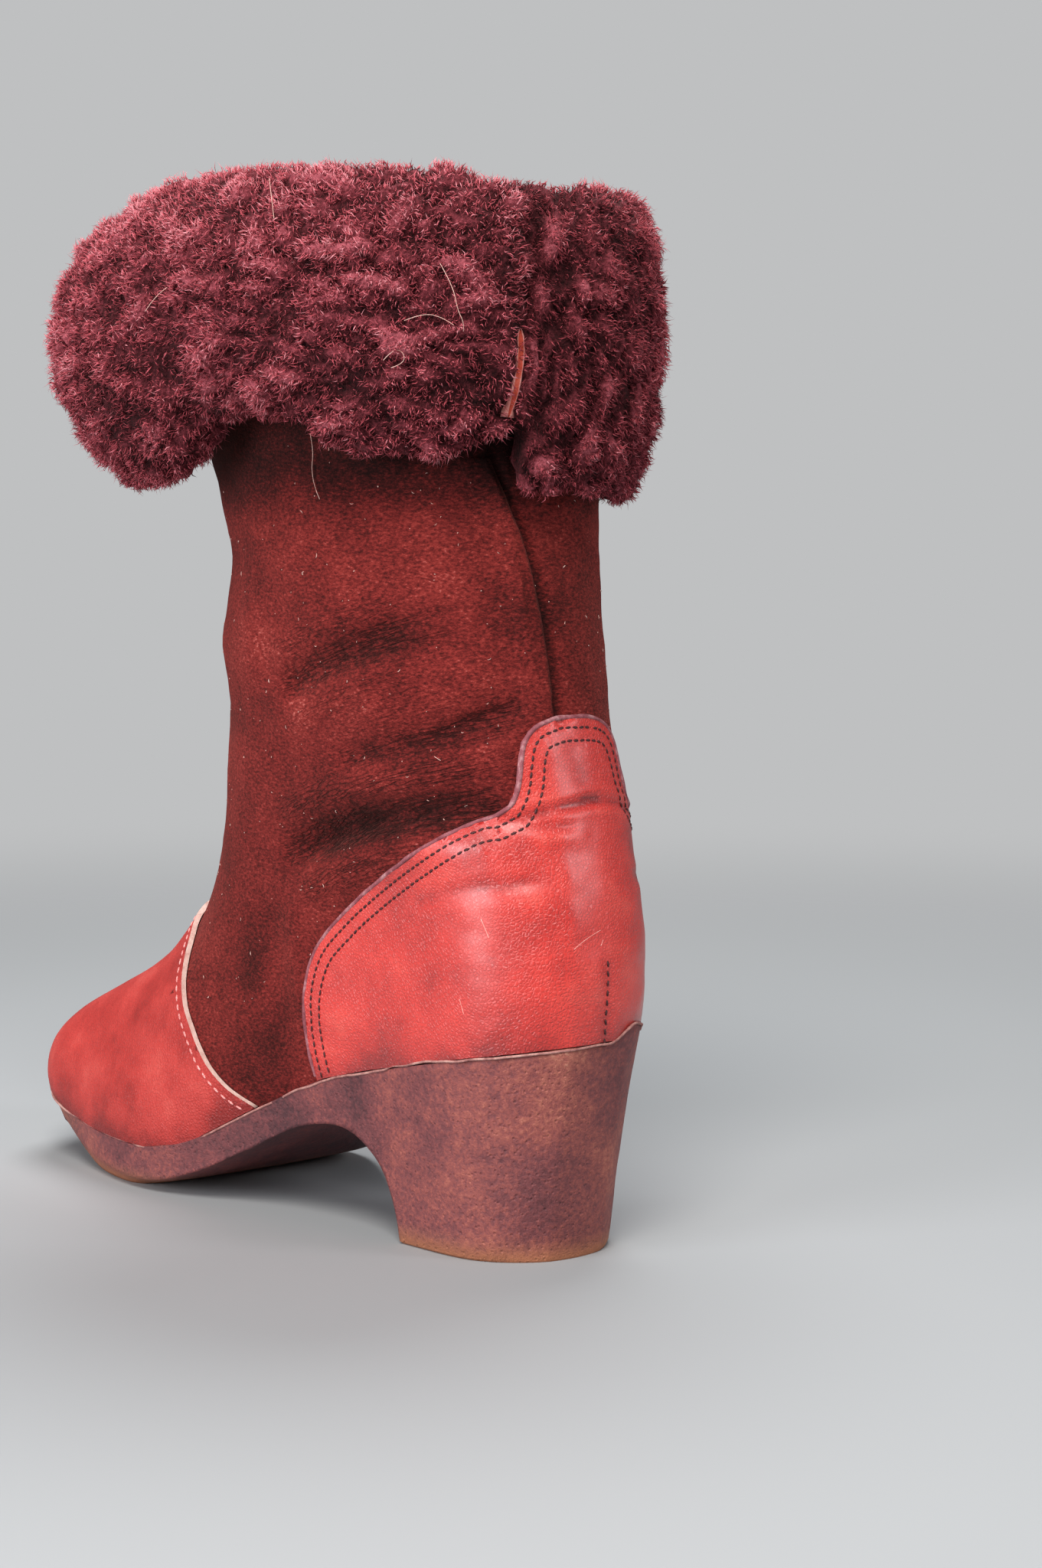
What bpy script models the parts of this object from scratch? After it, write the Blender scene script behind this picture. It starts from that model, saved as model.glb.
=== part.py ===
"""Left winter boot of shearling hide.

A suede shaft with its fleece turned out as a split cuff, a leather vamp and a heel counter laid
over it, and a one-piece crepe sole with a block heel. The toe points to -Y, the wearer's left
is +X and the floor is Z = 0. Tables are in millimetres, and "along" runs from the back of the
heel to the toe.
"""
import math
import random
from bisect import bisect_right

import bmesh
import bpy
from mathutils import Vector

MM = 0.001

# Foot and shaft
SOLE_LENGTH = 248.0
BALL_WIDTH = 84.0
HEEL_SEAT = 59.0
TOE_SEAT = 24.5
COLLAR_HEIGHT = 292.0
# Walls and clearances
HIDE_THICKNESS = 2.6
LEATHER_THICKNESS = 1.4
INSOLE_THICKNESS = 3.0
LIP_THICKNESS = 1.6
GAP = 0.4
BED_GAP = 0.3
# Cuff
PILE_DEPTH = 20.0
LINING_DEPTH = 9.0
CUFF_CLEARANCE = 0.9
INNER_LEG = 26.0
LOCK_HEIGHT = 5.0
LOCK_SEAM = 1.1
# Middle of the whole boot, seen from above
BOX_MIDDLE_ALONG = 123.6
BOX_MIDDLE_SIDE = 7.54

# Height of the feather line, where the upper meets the sole
FEATHER = {
    "share": (0.0, 0.2, 0.35, 0.5, 0.63, 0.8, 1.0),
    "height": (HEEL_SEAT, 49.4, 41.0, 25.0, 11.0, 12.6, TOE_SEAT),
}

# Sideways swing of the foot's middle line, wearer's left positive
SWING = {
    "share": (0.0, 0.2, 0.42, 0.68, 0.88, 1.0),
    "side": (0.0, 0.0, 3.6, -1.6, -1.6, -1.2),
}

# Where along a section its half widths are given
WIDTH_STATIONS = (0.16, 0.42, 0.67, 0.88)

# Sections of the upper from the feather line to the collar. Back and front are shares of the
# sole's length, rises are above the heel and toe seats, widths are shares of the ball's half
# width, rounds are the lengths of the rounded ends, drop and swing fade the feather's curve.
SECTION_COLUMNS = (
    "back", "back_rise", "front", "front_rise", "heel", "waist", "ball", "toe",
    "heel_round", "toe_round", "drop", "swing",
)
SECTIONS = (
    (0.007, 0.0, 0.994, 0.0, 0.680, 0.610, 0.990, 0.825, 30.0, 31.0, 1.00, 1.0),
    (0.001, 9.0, 0.999, 6.5, 0.700, 0.660, 1.025, 0.850, 30.0, 31.0, 0.96, 1.0),
    (-0.002, 21.0, 0.990, 13.5, 0.715, 0.700, 0.990, 0.840, 30.0, 32.0, 0.84, 0.95),
    (0.001, 33.0, 0.956, 21.0, 0.720, 0.720, 0.885, 0.755, 30.0, 35.0, 0.62, 0.8),
    (0.010, 45.0, 0.880, 30.0, 0.725, 0.735, 0.810, 0.650, 30.0, 39.0, 0.38, 0.6),
    (0.023, 58.0, 0.792, 39.5, 0.750, 0.765, 0.765, 0.565, 31.0, 41.0, 0.18, 0.4),
    (0.036, 71.0, 0.710, 54.5, 0.795, 0.810, 0.785, 0.620, 35.0, 44.0, 0.06, 0.2),
    (0.048, 84.0, 0.655, 74.0, 0.860, 0.880, 0.855, 0.720, 41.0, 47.0, 0.0, 0.1),
    (0.060, 97.0, 0.622, 98.0, 0.950, 0.965, 0.950, 0.880, 48.0, 54.0, 0.0, 0.0),
    (0.070, 113.0, 0.604, 128.0, 1.040, 1.060, 1.055, 1.030, 56.0, 61.0, 0.0, 0.0),
    (0.080, 128.0, 0.590, 155.5, 1.110, 1.130, 1.125, 1.110, 61.0, 62.0, 0.0, 0.0),
    (0.088, 141.0, 0.573, 175.0, 1.140, 1.155, 1.155, 1.140, 60.0, 60.0, 0.0, 0.0),
    (0.087, 157.0, 0.598, 192.0, 1.170, 1.180, 1.180, 1.170, 62.0, 62.5, 0.0, 0.0),
    (0.077, 176.0, 0.636, 211.0, 1.220, 1.230, 1.230, 1.220, 67.5, 68.0, 0.0, 0.0),
    (0.065, 203.0, 0.662, 238.0, 1.290, 1.300, 1.300, 1.290, 73.0, 73.0, 0.0, 0.0),
    (0.057, COLLAR_HEIGHT - HEEL_SEAT, 0.670, COLLAR_HEIGHT - TOE_SEAT,
     1.340, 1.350, 1.350, 1.340, 76.0, 76.0, 0.0, 0.0),
)
TOP_LEVEL = len(SECTIONS) - 1
LIP_LEVEL = 0.36
LEATHER_LEVEL = 0.42
LEVELS = (0.0, 0.36, 0.8, 1.3, 1.8, 2.3, 2.8, 3.4, 4.0, 4.7, 5.4, 6.2, 7.0, 8.0, 9.0, 10.0, 11.0,
          12.0, 13.0, 14.0, 15.0)
LEATHER_LEVELS = (LEATHER_LEVEL,) + LEVELS[2:15]

# Back seam: its turn from the centre back, and where its lap starts above the counter
COLUMNS_PER_SIDE = 20
SEAM_TURN = math.radians(11.0)
SEAM_HALF = math.radians(0.6)
SEAM_REACH = math.radians(49.0)
SEAM_LAP = 0.9
SEAM = {
    "level": (7.0, 8.0, 9.0, 12.0, 13.5, 15.0),
    "drift": (0.0, 0.0, 1.5, 6.0, 8.5, 9.0),
    "lap": (0.0, 0.0, SEAM_LAP, SEAM_LAP, SEAM_LAP, 0.0),
}

# Back edge of the vamp, from the lip up to the ridge of the instep
VAMP_EDGE = {
    "along": (92.0, 113.0, 126.0, 139.6, 150.0, 155.8, 160.5, 169.0, 182.0),
    "height": (10.0, 30.0, 36.5, 47.4, 59.5, 70.0, 77.5, 86.5, 97.0),
}
# Top edge of the counter seen from the side, from the lip back to its shoulder
COUNTER_SIDE = {
    "along": (87.0, 88.5, 90.5, 89.5, 85.0, 74.0, 56.5, 39.5, 25.0, 17.0, -12.0),
    "height": (20.0, 44.0, 59.0, 70.0, 81.5, 92.0, 104.0, 114.0, 121.0, 124.6, 126.0),
}
# Half of the counter's tongue seen from behind, from its foot to its tip
COUNTER_TONGUE = {
    "side": (31.0, 25.5, 21.5, 19.0, 18.0, 16.6, 13.0, 6.0, 0.0),
    "height": (116.0, 124.0, 127.0, 132.5, 138.4, 144.5, 148.6, 150.8, 151.2),
}

# Lower edge of the sole's side. Lip and edge are shares of the sole's length, narrow is the
# edge's half width as a share of the lip's, tread is the height of the bottom inside the edge.
SOLE_EDGE = {
    "lip": (0.0, 0.12, 0.2297, 0.2425, 0.2576, 0.2746, 0.2927, 0.325, 0.359, 0.43, 0.52, 0.60,
            0.654, 0.795, 0.90, 1.0),
    "edge": (0.042, 0.142, 0.2290, 0.2335, 0.2420, 0.2560, 0.2750, 0.309, 0.347, 0.43, 0.52, 0.60,
             0.654, 0.794, 0.893, 0.980),
    "height": (0.8, 0.8, 0.8, 6.5, 14.0, 20.5, 25.6, 30.6, 31.6, 25.2, 14.0, 5.6,
               3.2, 6.4, 14.0, 21.0),
    "narrow": (0.86, 0.86, 0.88, 0.885, 0.89, 0.90, 0.92, 0.95, 0.965, 0.975, 0.98, 0.985,
               0.985, 0.975, 0.945, 0.93),
    "tread": (0.0, 0.0, 0.0, 6.5, 14.0, 20.5, 25.6, 30.6, 31.6, 25.2, 14.0, 4.4,
              0.0, 0.0, 9.0, 18.0),
}
BREAST_COLUMNS = (0.2297, 0.2425, 0.2576, 0.2927, 0.319, 0.395)
SOLE_WALL = (0.14, 0.4, 0.7, 1.0)
SOLE_FLARE = 0.78
TREAD_INSET = 0.90
HEEL_INSET = 0.96

# The cuff round the shaft, from the slit over the left side and the front to the slit again
CUFF = {
    "turn": (20.0, 28.0, 45.0, 55.0, 64.0, 74.0, 84.0, 91.0, 98.0, 108.0, 125.0, 140.0, 160.0, 180.0,
             225.0, 270.0, 315.0, 377.4),
    "hem": (231.0, 226.0, 222.0, 224.0, 230.0, 234.0, 235.0, 232.0, 224.0, 219.0, 216.0, 217.0, 223.0,
            227.0, 221.0, 213.0, 211.0, 213.0),
    "crest": (297.0, 298.0, 300.0, 301.0, 301.5, 301.5, 301.0, 300.5, 300.0, 299.5, 298.0, 297.0, 297.0,
              297.0, 299.0, 299.0, 297.0, 296.0),
    "standoff": (19.0, 20.0, 22.0, 24.0, 25.0, 26.0, 26.5, 27.0, 31.0, 33.5, 36.5, 36.5, 34.5, 32.0,
                 23.0, 15.0, 12.0, 14.0),
}
# Outer side of the cuff from hem to crest, as shares of its height and of its standoff
CUFF_BULGE = {
    "rise": (0.0, 0.09, 0.23, 0.41, 0.59, 0.76, 0.90, 1.0),
    "reach": (0.50, 0.80, 0.97, 1.0, 0.95, 0.80, 0.54, 0.10),
}
HEM_THICKNESS = 9.0


def blend(xs, ys, x):
    """Smooth value at x through the given points, without overshoot."""
    if x <= xs[0]:
        return ys[0]
    if x >= xs[-1]:
        return ys[-1]
    k = bisect_right(xs, x) - 1
    slopes = [(ys[i + 1] - ys[i]) / (xs[i + 1] - xs[i]) for i in range(len(xs) - 1)]

    def tangent(i):
        if i == 0:
            return slopes[0]
        if i == len(xs) - 1:
            return slopes[-1]
        before, after = slopes[i - 1], slopes[i]
        if before * after <= 0.0:
            return 0.0
        return 2.0 * before * after / (before + after)

    span = xs[k + 1] - xs[k]
    t = (x - xs[k]) / span
    rise = t * t * (3.0 - 2.0 * t)
    lead = t * (1.0 - t) ** 2 * span * tangent(k)
    trail = t * t * (1.0 - t) * span * tangent(k + 1)
    return ys[k] + (ys[k + 1] - ys[k]) * rise + lead - trail


SECTION_CACHE = {}


def section(level):
    """Columns of the upper's section at a level between the rows of the table."""
    if level not in SECTION_CACHE:
        rows = range(len(SECTIONS))
        SECTION_CACHE[level] = {
            name: blend(rows, [row[i] for row in SECTIONS], level)
            for i, name in enumerate(SECTION_COLUMNS)
        }
    return SECTION_CACHE[level]


def rounded(distance, length):
    """Share of the full width at a distance from a rounded end."""
    t = min(max(distance / length, 0.0), 1.0)
    return math.sqrt(t * (2.0 - t))


def skin_point(level, turn):
    """Point of the upper's outer surface. Turn 0 is the centre back, pi the centre front."""
    row = section(level)
    share = 0.5 * (1.0 - math.cos(turn))
    back = Vector((row["back"] * SOLE_LENGTH, HEEL_SEAT + row["back_rise"]))
    front = Vector((row["front"] * SOLE_LENGTH, TOE_SEAT + row["front_rise"]))
    run = (front - back).length
    along, height = back.lerp(front, share)
    straight = HEEL_SEAT + (TOE_SEAT - HEEL_SEAT) * share
    height += row["drop"] * (blend(FEATHER["share"], FEATHER["height"], share) - straight)
    widths = [row[name] * BALL_WIDTH / 2.0 for name in ("heel", "waist", "ball", "toe")]
    half = blend(WIDTH_STATIONS, widths, share)
    half *= rounded(share * run, row["heel_round"]) * rounded((1.0 - share) * run, row["toe_round"])
    side = math.copysign(half, math.sin(turn))
    side += row["swing"] * blend(SWING["share"], SWING["side"], share)
    return Vector((side, -along, height))


def skin_normal(level, turn):
    """Outward direction of the upper's surface."""
    step = 0.02
    low, high = max(level - step, 0.0), min(level + step, float(TOP_LEVEL))
    upward = skin_point(high, turn) - skin_point(low, turn)
    around = skin_point(level, turn + step) - skin_point(level, turn - step)
    return upward.cross(around).normalized()


def skin(level, turn, offset):
    """Point at a distance outside the upper's surface."""
    return skin_point(level, turn) + skin_normal(level, turn) * offset


def side_turns():
    """Turns of the columns on one side, from the centre back to the centre front."""
    return [math.pi * i / COLUMNS_PER_SIDE for i in range(COLUMNS_PER_SIDE + 1)]


def column_turns(level):
    """Turns of all the upper's columns at a level, with two beside the back seam."""
    left = sorted(side_turns() + [SEAM_TURN - SEAM_HALF, SEAM_TURN + SEAM_HALF])
    drift = math.radians(blend(SEAM["level"], SEAM["drift"], level))
    turns = []
    for turn in left:
        near = turn / SEAM_TURN if turn < SEAM_TURN else (SEAM_REACH - turn) / (SEAM_REACH - SEAM_TURN)
        turns.append(turn + drift * max(near, 0.0))
    right = [math.tau - turn for turn in reversed(side_turns()[1:-1])]
    return turns + right


def lap(level, index):
    """Extra thickness where the left panel laps over the right one at the back seam."""
    left = sorted(side_turns() + [SEAM_TURN - SEAM_HALF, SEAM_TURN + SEAM_HALF])
    return blend(SEAM["level"], SEAM["lap"], level) if index == left.index(SEAM_TURN + SEAM_HALF) else 0.0


def add_strip(bm, lower, upper, closed=True):
    """Faces between two rows of vertices, wound the same way all round."""
    count = len(lower)
    faces = []
    for i in range(count if closed else count - 1):
        j = (i + 1) % count
        faces.append(bm.faces.new((lower[i], lower[j], upper[j], upper[i])))
    return faces


def add_skin(bm, lower, upper, inward=False):
    """Triangles between two rows, cut along the same diagonals on both faces of a wall."""
    count = len(lower)
    for i in range(count):
        j = (i + 1) % count
        corners = ((lower[i], lower[j], upper[j]), (lower[i], upper[j], upper[i]))
        for corner in corners:
            bm.faces.new(corner[::-1] if inward else corner)


def add_ladder(bm, ring):
    """Cap of a ring whose left and right halves mirror each other, rung by rung."""
    half = len(ring) // 2
    bm.faces.new((ring[0], ring[1], ring[-1]))
    for i in range(1, half - 1):
        bm.faces.new((ring[i], ring[i + 1], ring[-i - 1], ring[-i]))
    bm.faces.new((ring[half - 1], ring[half], ring[half + 1]))


def add_ring(bm, points):
    return [bm.verts.new(point) for point in points]


def finish(bm, name, material, colour, roughness):
    """Turn millimetres into a named object of its own material, in the boot's frame."""
    bmesh.ops.recalc_face_normals(bm, faces=bm.faces)
    bmesh.ops.translate(bm, verts=bm.verts, vec=(-BOX_MIDDLE_SIDE, BOX_MIDDLE_ALONG, 0.0))
    bmesh.ops.scale(bm, verts=bm.verts, vec=(MM, MM, MM))
    mesh = bpy.data.meshes.new(name)
    bm.to_mesh(mesh)
    bm.free()
    shade = bpy.data.materials.new(material)
    shade.use_nodes = True
    shader = shade.node_tree.nodes["Principled BSDF"]
    shader.inputs["Base Color"].default_value = (*colour, 1.0)
    shader.inputs["Roughness"].default_value = roughness
    mesh.materials.append(shade)
    piece = bpy.data.objects.new(name, mesh)
    bpy.context.scene.collection.objects.link(piece)
    return piece


def add_shell(bm, levels, inside, outside, with_lap=False):
    """Closed wall between two offsets of the upper's surface."""
    outer, inner = [], []
    for level in levels:
        turns = column_turns(level)
        steps = [lap(level, i) if with_lap else 0.0 for i in range(len(turns))]
        outer.append(add_ring(bm, [skin(level, t, outside + s) for t, s in zip(turns, steps)]))
        inner.append(add_ring(bm, [skin(level, t, inside) for t in turns]))
    for k in range(len(levels) - 1):
        add_skin(bm, outer[k], outer[k + 1])
        add_skin(bm, inner[k], inner[k + 1], inward=True)
    add_strip(bm, inner[0], outer[0])
    add_strip(bm, outer[-1], inner[-1])


def scratch_object(bm):
    bmesh.ops.recalc_face_normals(bm, faces=bm.faces)
    mesh = bpy.data.meshes.new("scratch")
    bm.to_mesh(mesh)
    bm.free()
    piece = bpy.data.objects.new("scratch", mesh)
    bpy.context.scene.collection.objects.link(piece)
    return piece


def combine(first, second, operation):
    """Boolean of two scratch objects, which it uses up."""
    cut = first.modifiers.new("cut", "BOOLEAN")
    cut.operation = operation
    cut.solver = "EXACT"
    cut.object = second
    graph = bpy.context.evaluated_depsgraph_get()
    bm = bmesh.new()
    bm.from_object(first, graph)
    for piece in (first, second):
        bpy.data.objects.remove(piece, do_unlink=True)
    return bm


def prism(outline, axis, start, end):
    """Solid from a closed outline, pushed along an axis from start to end."""
    bm = bmesh.new()
    ring = []
    for across, height in outline:
        point = (start, across, height) if axis == "X" else (across, start, height)
        ring.append(bm.verts.new(point))
    face = bm.faces.new(ring)
    pushed = bmesh.ops.extrude_face_region(bm, geom=[face])
    moved = [item for item in pushed["geom"] if isinstance(item, bmesh.types.BMVert)]
    span = end - start
    bmesh.ops.translate(bm, verts=moved, vec=(span, 0.0, 0.0) if axis == "X" else (0.0, span, 0.0))
    return scratch_object(bm)


def run_curve(xs, ys, spacing=3.5):
    """Points of a smooth open curve through the table's points, about evenly spaced."""
    lengths = [0.0]
    for i in range(len(xs) - 1):
        lengths.append(lengths[-1] + math.hypot(xs[i + 1] - xs[i], ys[i + 1] - ys[i]))
    count = int(lengths[-1] / spacing)
    steps = [lengths[-1] * i / count for i in range(count + 1)]
    return [(blend(lengths, xs, step), blend(lengths, ys, step)) for step in steps]


def build_upper():
    bm = bmesh.new()
    add_shell(bm, LEVELS, -HIDE_THICKNESS, 0.0, with_lap=True)
    finish(bm, "upper", "suede_hide", (0.16, 0.022, 0.018), 0.9)


def leather_shell():
    bm = bmesh.new()
    add_shell(bm, LEATHER_LEVELS, GAP, GAP + LEATHER_THICKNESS)
    return scratch_object(bm)


def build_vamp():
    edge = [(-along, height) for along, height in run_curve(VAMP_EDGE["along"], VAMP_EDGE["height"])]
    toe = -SOLE_LENGTH - 20.0
    outline = edge + [(toe, edge[-1][1]), (toe, edge[0][1])]
    cutter = prism(outline, "X", -BALL_WIDTH, BALL_WIDTH)
    bm = combine(leather_shell(), cutter, "INTERSECT")
    finish(bm, "vamp", "vamp_leather", (0.26, 0.03, 0.025), 0.5)


def build_counter():
    side = run_curve(COUNTER_SIDE["along"], COUNTER_SIDE["height"])
    outline = [(-along, height) for along, height in side] + [(-side[-1][0], side[0][1])]
    body = prism(outline, "X", -BALL_WIDTH, BALL_WIDTH)
    half = run_curve(COUNTER_TONGUE["side"], COUNTER_TONGUE["height"])
    tongue_outline = half + [(-across, height) for across, height in reversed(half[:-1])]
    tongue = prism(tongue_outline, "Y", -48.0, 20.0)
    cutter = scratch_object(combine(body, tongue, "UNION"))
    bm = combine(leather_shell(), cutter, "INTERSECT")
    finish(bm, "counter", "counter_leather", (0.24, 0.026, 0.024), 0.45)


def mirrored_turns(extra=()):
    """Turns from the centre back round the left side to the front and back on the right."""
    left = sorted(set(side_turns()) | set(extra))
    return left + [math.tau - turn for turn in reversed(left[1:-1])]


def build_insole():
    bm = bmesh.new()
    outline = [skin(0.0, turn, -HIDE_THICKNESS - GAP) for turn in mirrored_turns()]
    low = add_ring(bm, outline)
    high = add_ring(bm, [point + Vector((0.0, 0.0, INSOLE_THICKNESS)) for point in outline])
    add_strip(bm, low, high)
    add_ladder(bm, low)
    add_ladder(bm, high)
    finish(bm, "insole", "insole_board", (0.35, 0.2, 0.15), 0.85)


def build_sole():
    bm = bmesh.new()
    breast = [math.acos(1.0 - 2.0 * share) for share in BREAST_COLUMNS]
    seam = [SEAM_TURN - SEAM_HALF, SEAM_TURN + SEAM_HALF]
    turns = mirrored_turns(breast + seam)
    bed = [skin(0.0, turn, GAP) - Vector((0.0, 0.0, BED_GAP)) for turn in turns]
    lip_in = [skin(LIP_LEVEL, turn, GAP) for turn in turns]
    lip_out = [skin(LIP_LEVEL, turn, GAP + LIP_THICKNESS) for turn in turns]
    edge, tread = [], []
    for turn, lip in zip(turns, lip_out):
        share = 0.5 * (1.0 - math.cos(turn))
        along = blend(SOLE_EDGE["lip"], SOLE_EDGE["edge"], share) * SOLE_LENGTH
        narrow = blend(SOLE_EDGE["lip"], SOLE_EDGE["narrow"], share)
        height = blend(SOLE_EDGE["lip"], SOLE_EDGE["height"], share)
        floor = blend(SOLE_EDGE["lip"], SOLE_EDGE["tread"], share)
        edge.append(Vector((lip.x * narrow, -along, height)))
        inset = HEEL_INSET if share < SOLE_EDGE["lip"][2] + 0.001 else TREAD_INSET
        middle = SOLE_LENGTH * (0.14 if share < 0.3 else 0.72)
        inner_along = along + (middle - along) * (1.0 - inset) * abs(share - 0.5) * 1.2
        tread.append(Vector((lip.x * narrow * inset, -inner_along, floor)))
    rows = [bed, lip_in, lip_out]
    for depth in SOLE_WALL:
        inward = depth ** SOLE_FLARE
        wall = []
        for top, low in zip(lip_out, edge):
            point = top.lerp(low, inward)
            point.z = top.z + (low.z - top.z) * depth
            wall.append(point)
        rows.append(wall)
    rows.append(tread)
    rings = [add_ring(bm, row) for row in rows]
    for lower, upper in zip(rings, rings[1:]):
        add_strip(bm, lower, upper)
    add_ladder(bm, rings[0])
    add_ladder(bm, rings[-1])
    finish(bm, "sole", "crepe_rubber", (0.09, 0.03, 0.022), 0.8)


def shaft_level(turn, height):
    """Level of the upper's surface at a height of the shaft."""
    low, high = 9.0, float(TOP_LEVEL)
    for _ in range(30):
        middle = 0.5 * (low + high)
        if skin_point(middle, turn).z < height:
            low = middle
        else:
            high = middle
    return 0.5 * (low + high)


def cuff_point(turn, reach, height):
    """Point at a level distance outside the shaft, or over its collar."""
    level = shaft_level(turn, min(height, COLLAR_HEIGHT))
    normal = skin_normal(level, turn)
    outward = Vector((normal.x, normal.y, 0.0)).normalized()
    point = skin_point(level, turn) + outward * reach
    point.z = height
    return point


def cuff_section(turn):
    """Reach and height round the cuff's section: up its outer side, over and inside the collar."""
    degrees = math.degrees(turn)
    hem, crest, standoff = (blend(CUFF["turn"], CUFF[name], degrees) for name in ("hem", "crest", "standoff"))
    tall = crest - hem
    outer = [
        (standoff * reach, hem + tall * rise)
        for rise, reach in zip(CUFF_BULGE["rise"], CUFF_BULGE["reach"])
    ]
    wall = -HIDE_THICKNESS - CUFF_CLEARANCE
    lining = wall - LINING_DEPTH
    leg = COLLAR_HEIGHT - INNER_LEG
    fold = COLLAR_HEIGHT + CUFF_CLEARANCE
    hem_in = max(CUFF_CLEARANCE, standoff * CUFF_BULGE["reach"][0] - HEM_THICKNESS)
    flap_in = max(CUFF_CLEARANCE, standoff - PILE_DEPTH)
    inside = [
        (lining * 0.75, crest - 4.0),
        (lining, crest - 14.0),
        (lining, leg),
        (wall, leg),
        (wall, fold),
        (CUFF_CLEARANCE, fold),
        (CUFF_CLEARANCE, COLLAR_HEIGHT - 7.0),
        (flap_in, hem + tall * 0.5),
        (flap_in, hem + tall * 0.25),
        (hem_in, hem + 3.0),
    ]
    return outer + inside


def build_cuff():
    bm = bmesh.new()
    first, last = math.radians(CUFF["turn"][0]), math.radians(CUFF["turn"][-1])
    middle = [t for t in column_turns(float(TOP_LEVEL)) if first + 0.06 < t < math.tau - 0.001]
    wrap = [t + math.tau for t in column_turns(float(TOP_LEVEL)) if t + math.tau < last - 0.06]
    turns = [first] + middle + wrap + [last]
    columns = [add_ring(bm, [cuff_point(t, *pair) for pair in cuff_section(t)]) for t in turns]
    tufted = []
    outer_rows = len(CUFF_BULGE["rise"]) - 1
    for left, right in zip(columns, columns[1:]):
        tufted += add_strip(bm, left, right)[:outer_rows]
    bm.faces.new(columns[0])
    bm.faces.new(columns[-1])
    bmesh.ops.recalc_face_normals(bm, faces=bm.faces)
    bmesh.ops.inset_individual(bm, faces=tufted, thickness=LOCK_SEAM)
    tips = bmesh.ops.poke(bm, faces=tufted, offset=0.0)["verts"]
    chance = random.Random(3)
    for tip in tips:
        tip.normal_update()
        droop = Vector((chance.uniform(-1.5, 1.5), chance.uniform(-1.5, 1.5), -chance.uniform(1.0, 4.0)))
        tip.co += tip.normal * LOCK_HEIGHT * chance.uniform(0.6, 1.0) + droop
    finish(bm, "cuff", "fleece", (0.2, 0.02, 0.03), 0.95)


def main():
    for piece in list(bpy.data.objects):
        bpy.data.objects.remove(piece, do_unlink=True)
    build_sole()
    build_insole()
    build_upper()
    build_vamp()
    build_counter()
    build_cuff()


main()
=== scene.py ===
import math

import bmesh
import bpy
import numpy as np
from mathutils import Matrix, Vector, noise
from mathutils.bvhtree import BVHTree
from mathutils.kdtree import KDTree


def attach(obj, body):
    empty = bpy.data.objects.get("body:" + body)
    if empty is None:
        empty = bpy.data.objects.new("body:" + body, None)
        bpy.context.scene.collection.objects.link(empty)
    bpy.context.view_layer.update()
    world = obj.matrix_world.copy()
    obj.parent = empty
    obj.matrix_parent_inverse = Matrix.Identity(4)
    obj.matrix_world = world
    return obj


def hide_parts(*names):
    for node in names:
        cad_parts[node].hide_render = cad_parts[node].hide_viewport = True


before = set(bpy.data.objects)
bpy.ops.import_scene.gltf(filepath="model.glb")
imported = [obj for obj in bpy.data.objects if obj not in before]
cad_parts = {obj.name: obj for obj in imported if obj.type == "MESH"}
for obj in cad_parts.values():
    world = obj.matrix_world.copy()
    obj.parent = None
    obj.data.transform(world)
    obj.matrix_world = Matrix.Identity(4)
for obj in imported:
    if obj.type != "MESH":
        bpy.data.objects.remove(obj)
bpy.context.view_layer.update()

# Lined boot, left. Sizes are in mm as a shoemaker reads them: "along" runs forward from the back of the heel,
# "side" runs outward from the centre line to the wearer's left, "height" runs up from the floor.
# "Turn" is the angle round the shaft in degrees: 0 at centre back, 90 on the outer side, 180 at the front.
MM = 0.001
BOX_MIDDLE_ALONG = 123.6
BOX_MIDDLE_SIDE = 7.54
AXIS_ALONG = 84.0
SHAFT_RADIUS = 52.0
HARD_EDGE = 50  # degrees between two faces from which an edge of the hide stays sharp
SOLE_HARD_EDGE = 33
PAIR_BEND, PAIR_SKEW = 50, 80  # degrees up to which two triangles are joined to a quad
SAME_POINT = 0.01
UP = np.array([0, 0, 1.0])


def spot(along, side, height):
    """A point of the boot, in the frame's metres."""
    return Vector((side - BOX_MIDDLE_SIDE, BOX_MIDDLE_ALONG - along, height)) * MM


def boot_sizes(places):
    """Along, side and height, in mm, of an array of places in metres."""
    return BOX_MIDDLE_ALONG - places[:, 1] / MM, places[:, 0] / MM + BOX_MIDDLE_SIDE, places[:, 2] / MM


def turn_of(along, side):
    return np.degrees(np.arctan2(side, AXIS_ALONG - along))


def round_spot(turn, distance, height):
    """A point by its turn, distance from the shaft's axis and height."""
    angle = math.radians(turn)
    return spot(AXIS_ALONG - distance * math.cos(angle), distance * math.sin(angle), height)


def outward_of(places):
    """The level direction out of the shaft's axis for each place."""
    along, side, _ = boot_sizes(places)
    out = np.stack([side, AXIS_ALONG - along, np.zeros(len(places))], 1)
    return out / np.maximum(np.linalg.norm(out, axis=1), 1.0)[:, None]


def ramp(values, low, high):
    """0 below low, 1 above high, smooth between."""
    share = np.clip((values - low) / (high - low), 0, 1)
    return share * share * (3 - 2 * share)


def hill(values, middle, width):
    """1 at the middle, falling to 0 on both sides."""
    return np.exp(-(((values - middle) / width) ** 2))


def noise_at(places, sizes, seed):
    """Soft noise from -1 to 1 whose patches are about sizes (x, y, z) in mm."""
    sx, sy, sz = sizes
    return np.array([noise.noise((x / sx + seed, y / sy - seed, z / sz + seed)) for x, y, z in places / MM])


def uneven(places, *layers):
    """A sum of noises, in mm. Each layer is its patches' sizes, a seed and an amount."""
    return sum(noise_at(places, sizes, seed) * amount for sizes, seed, amount in layers)


# ---------------- mesh work


def in_scene(name, data):
    obj = bpy.data.objects.new(name, data)
    bpy.context.scene.collection.objects.link(obj)
    return obj


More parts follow.
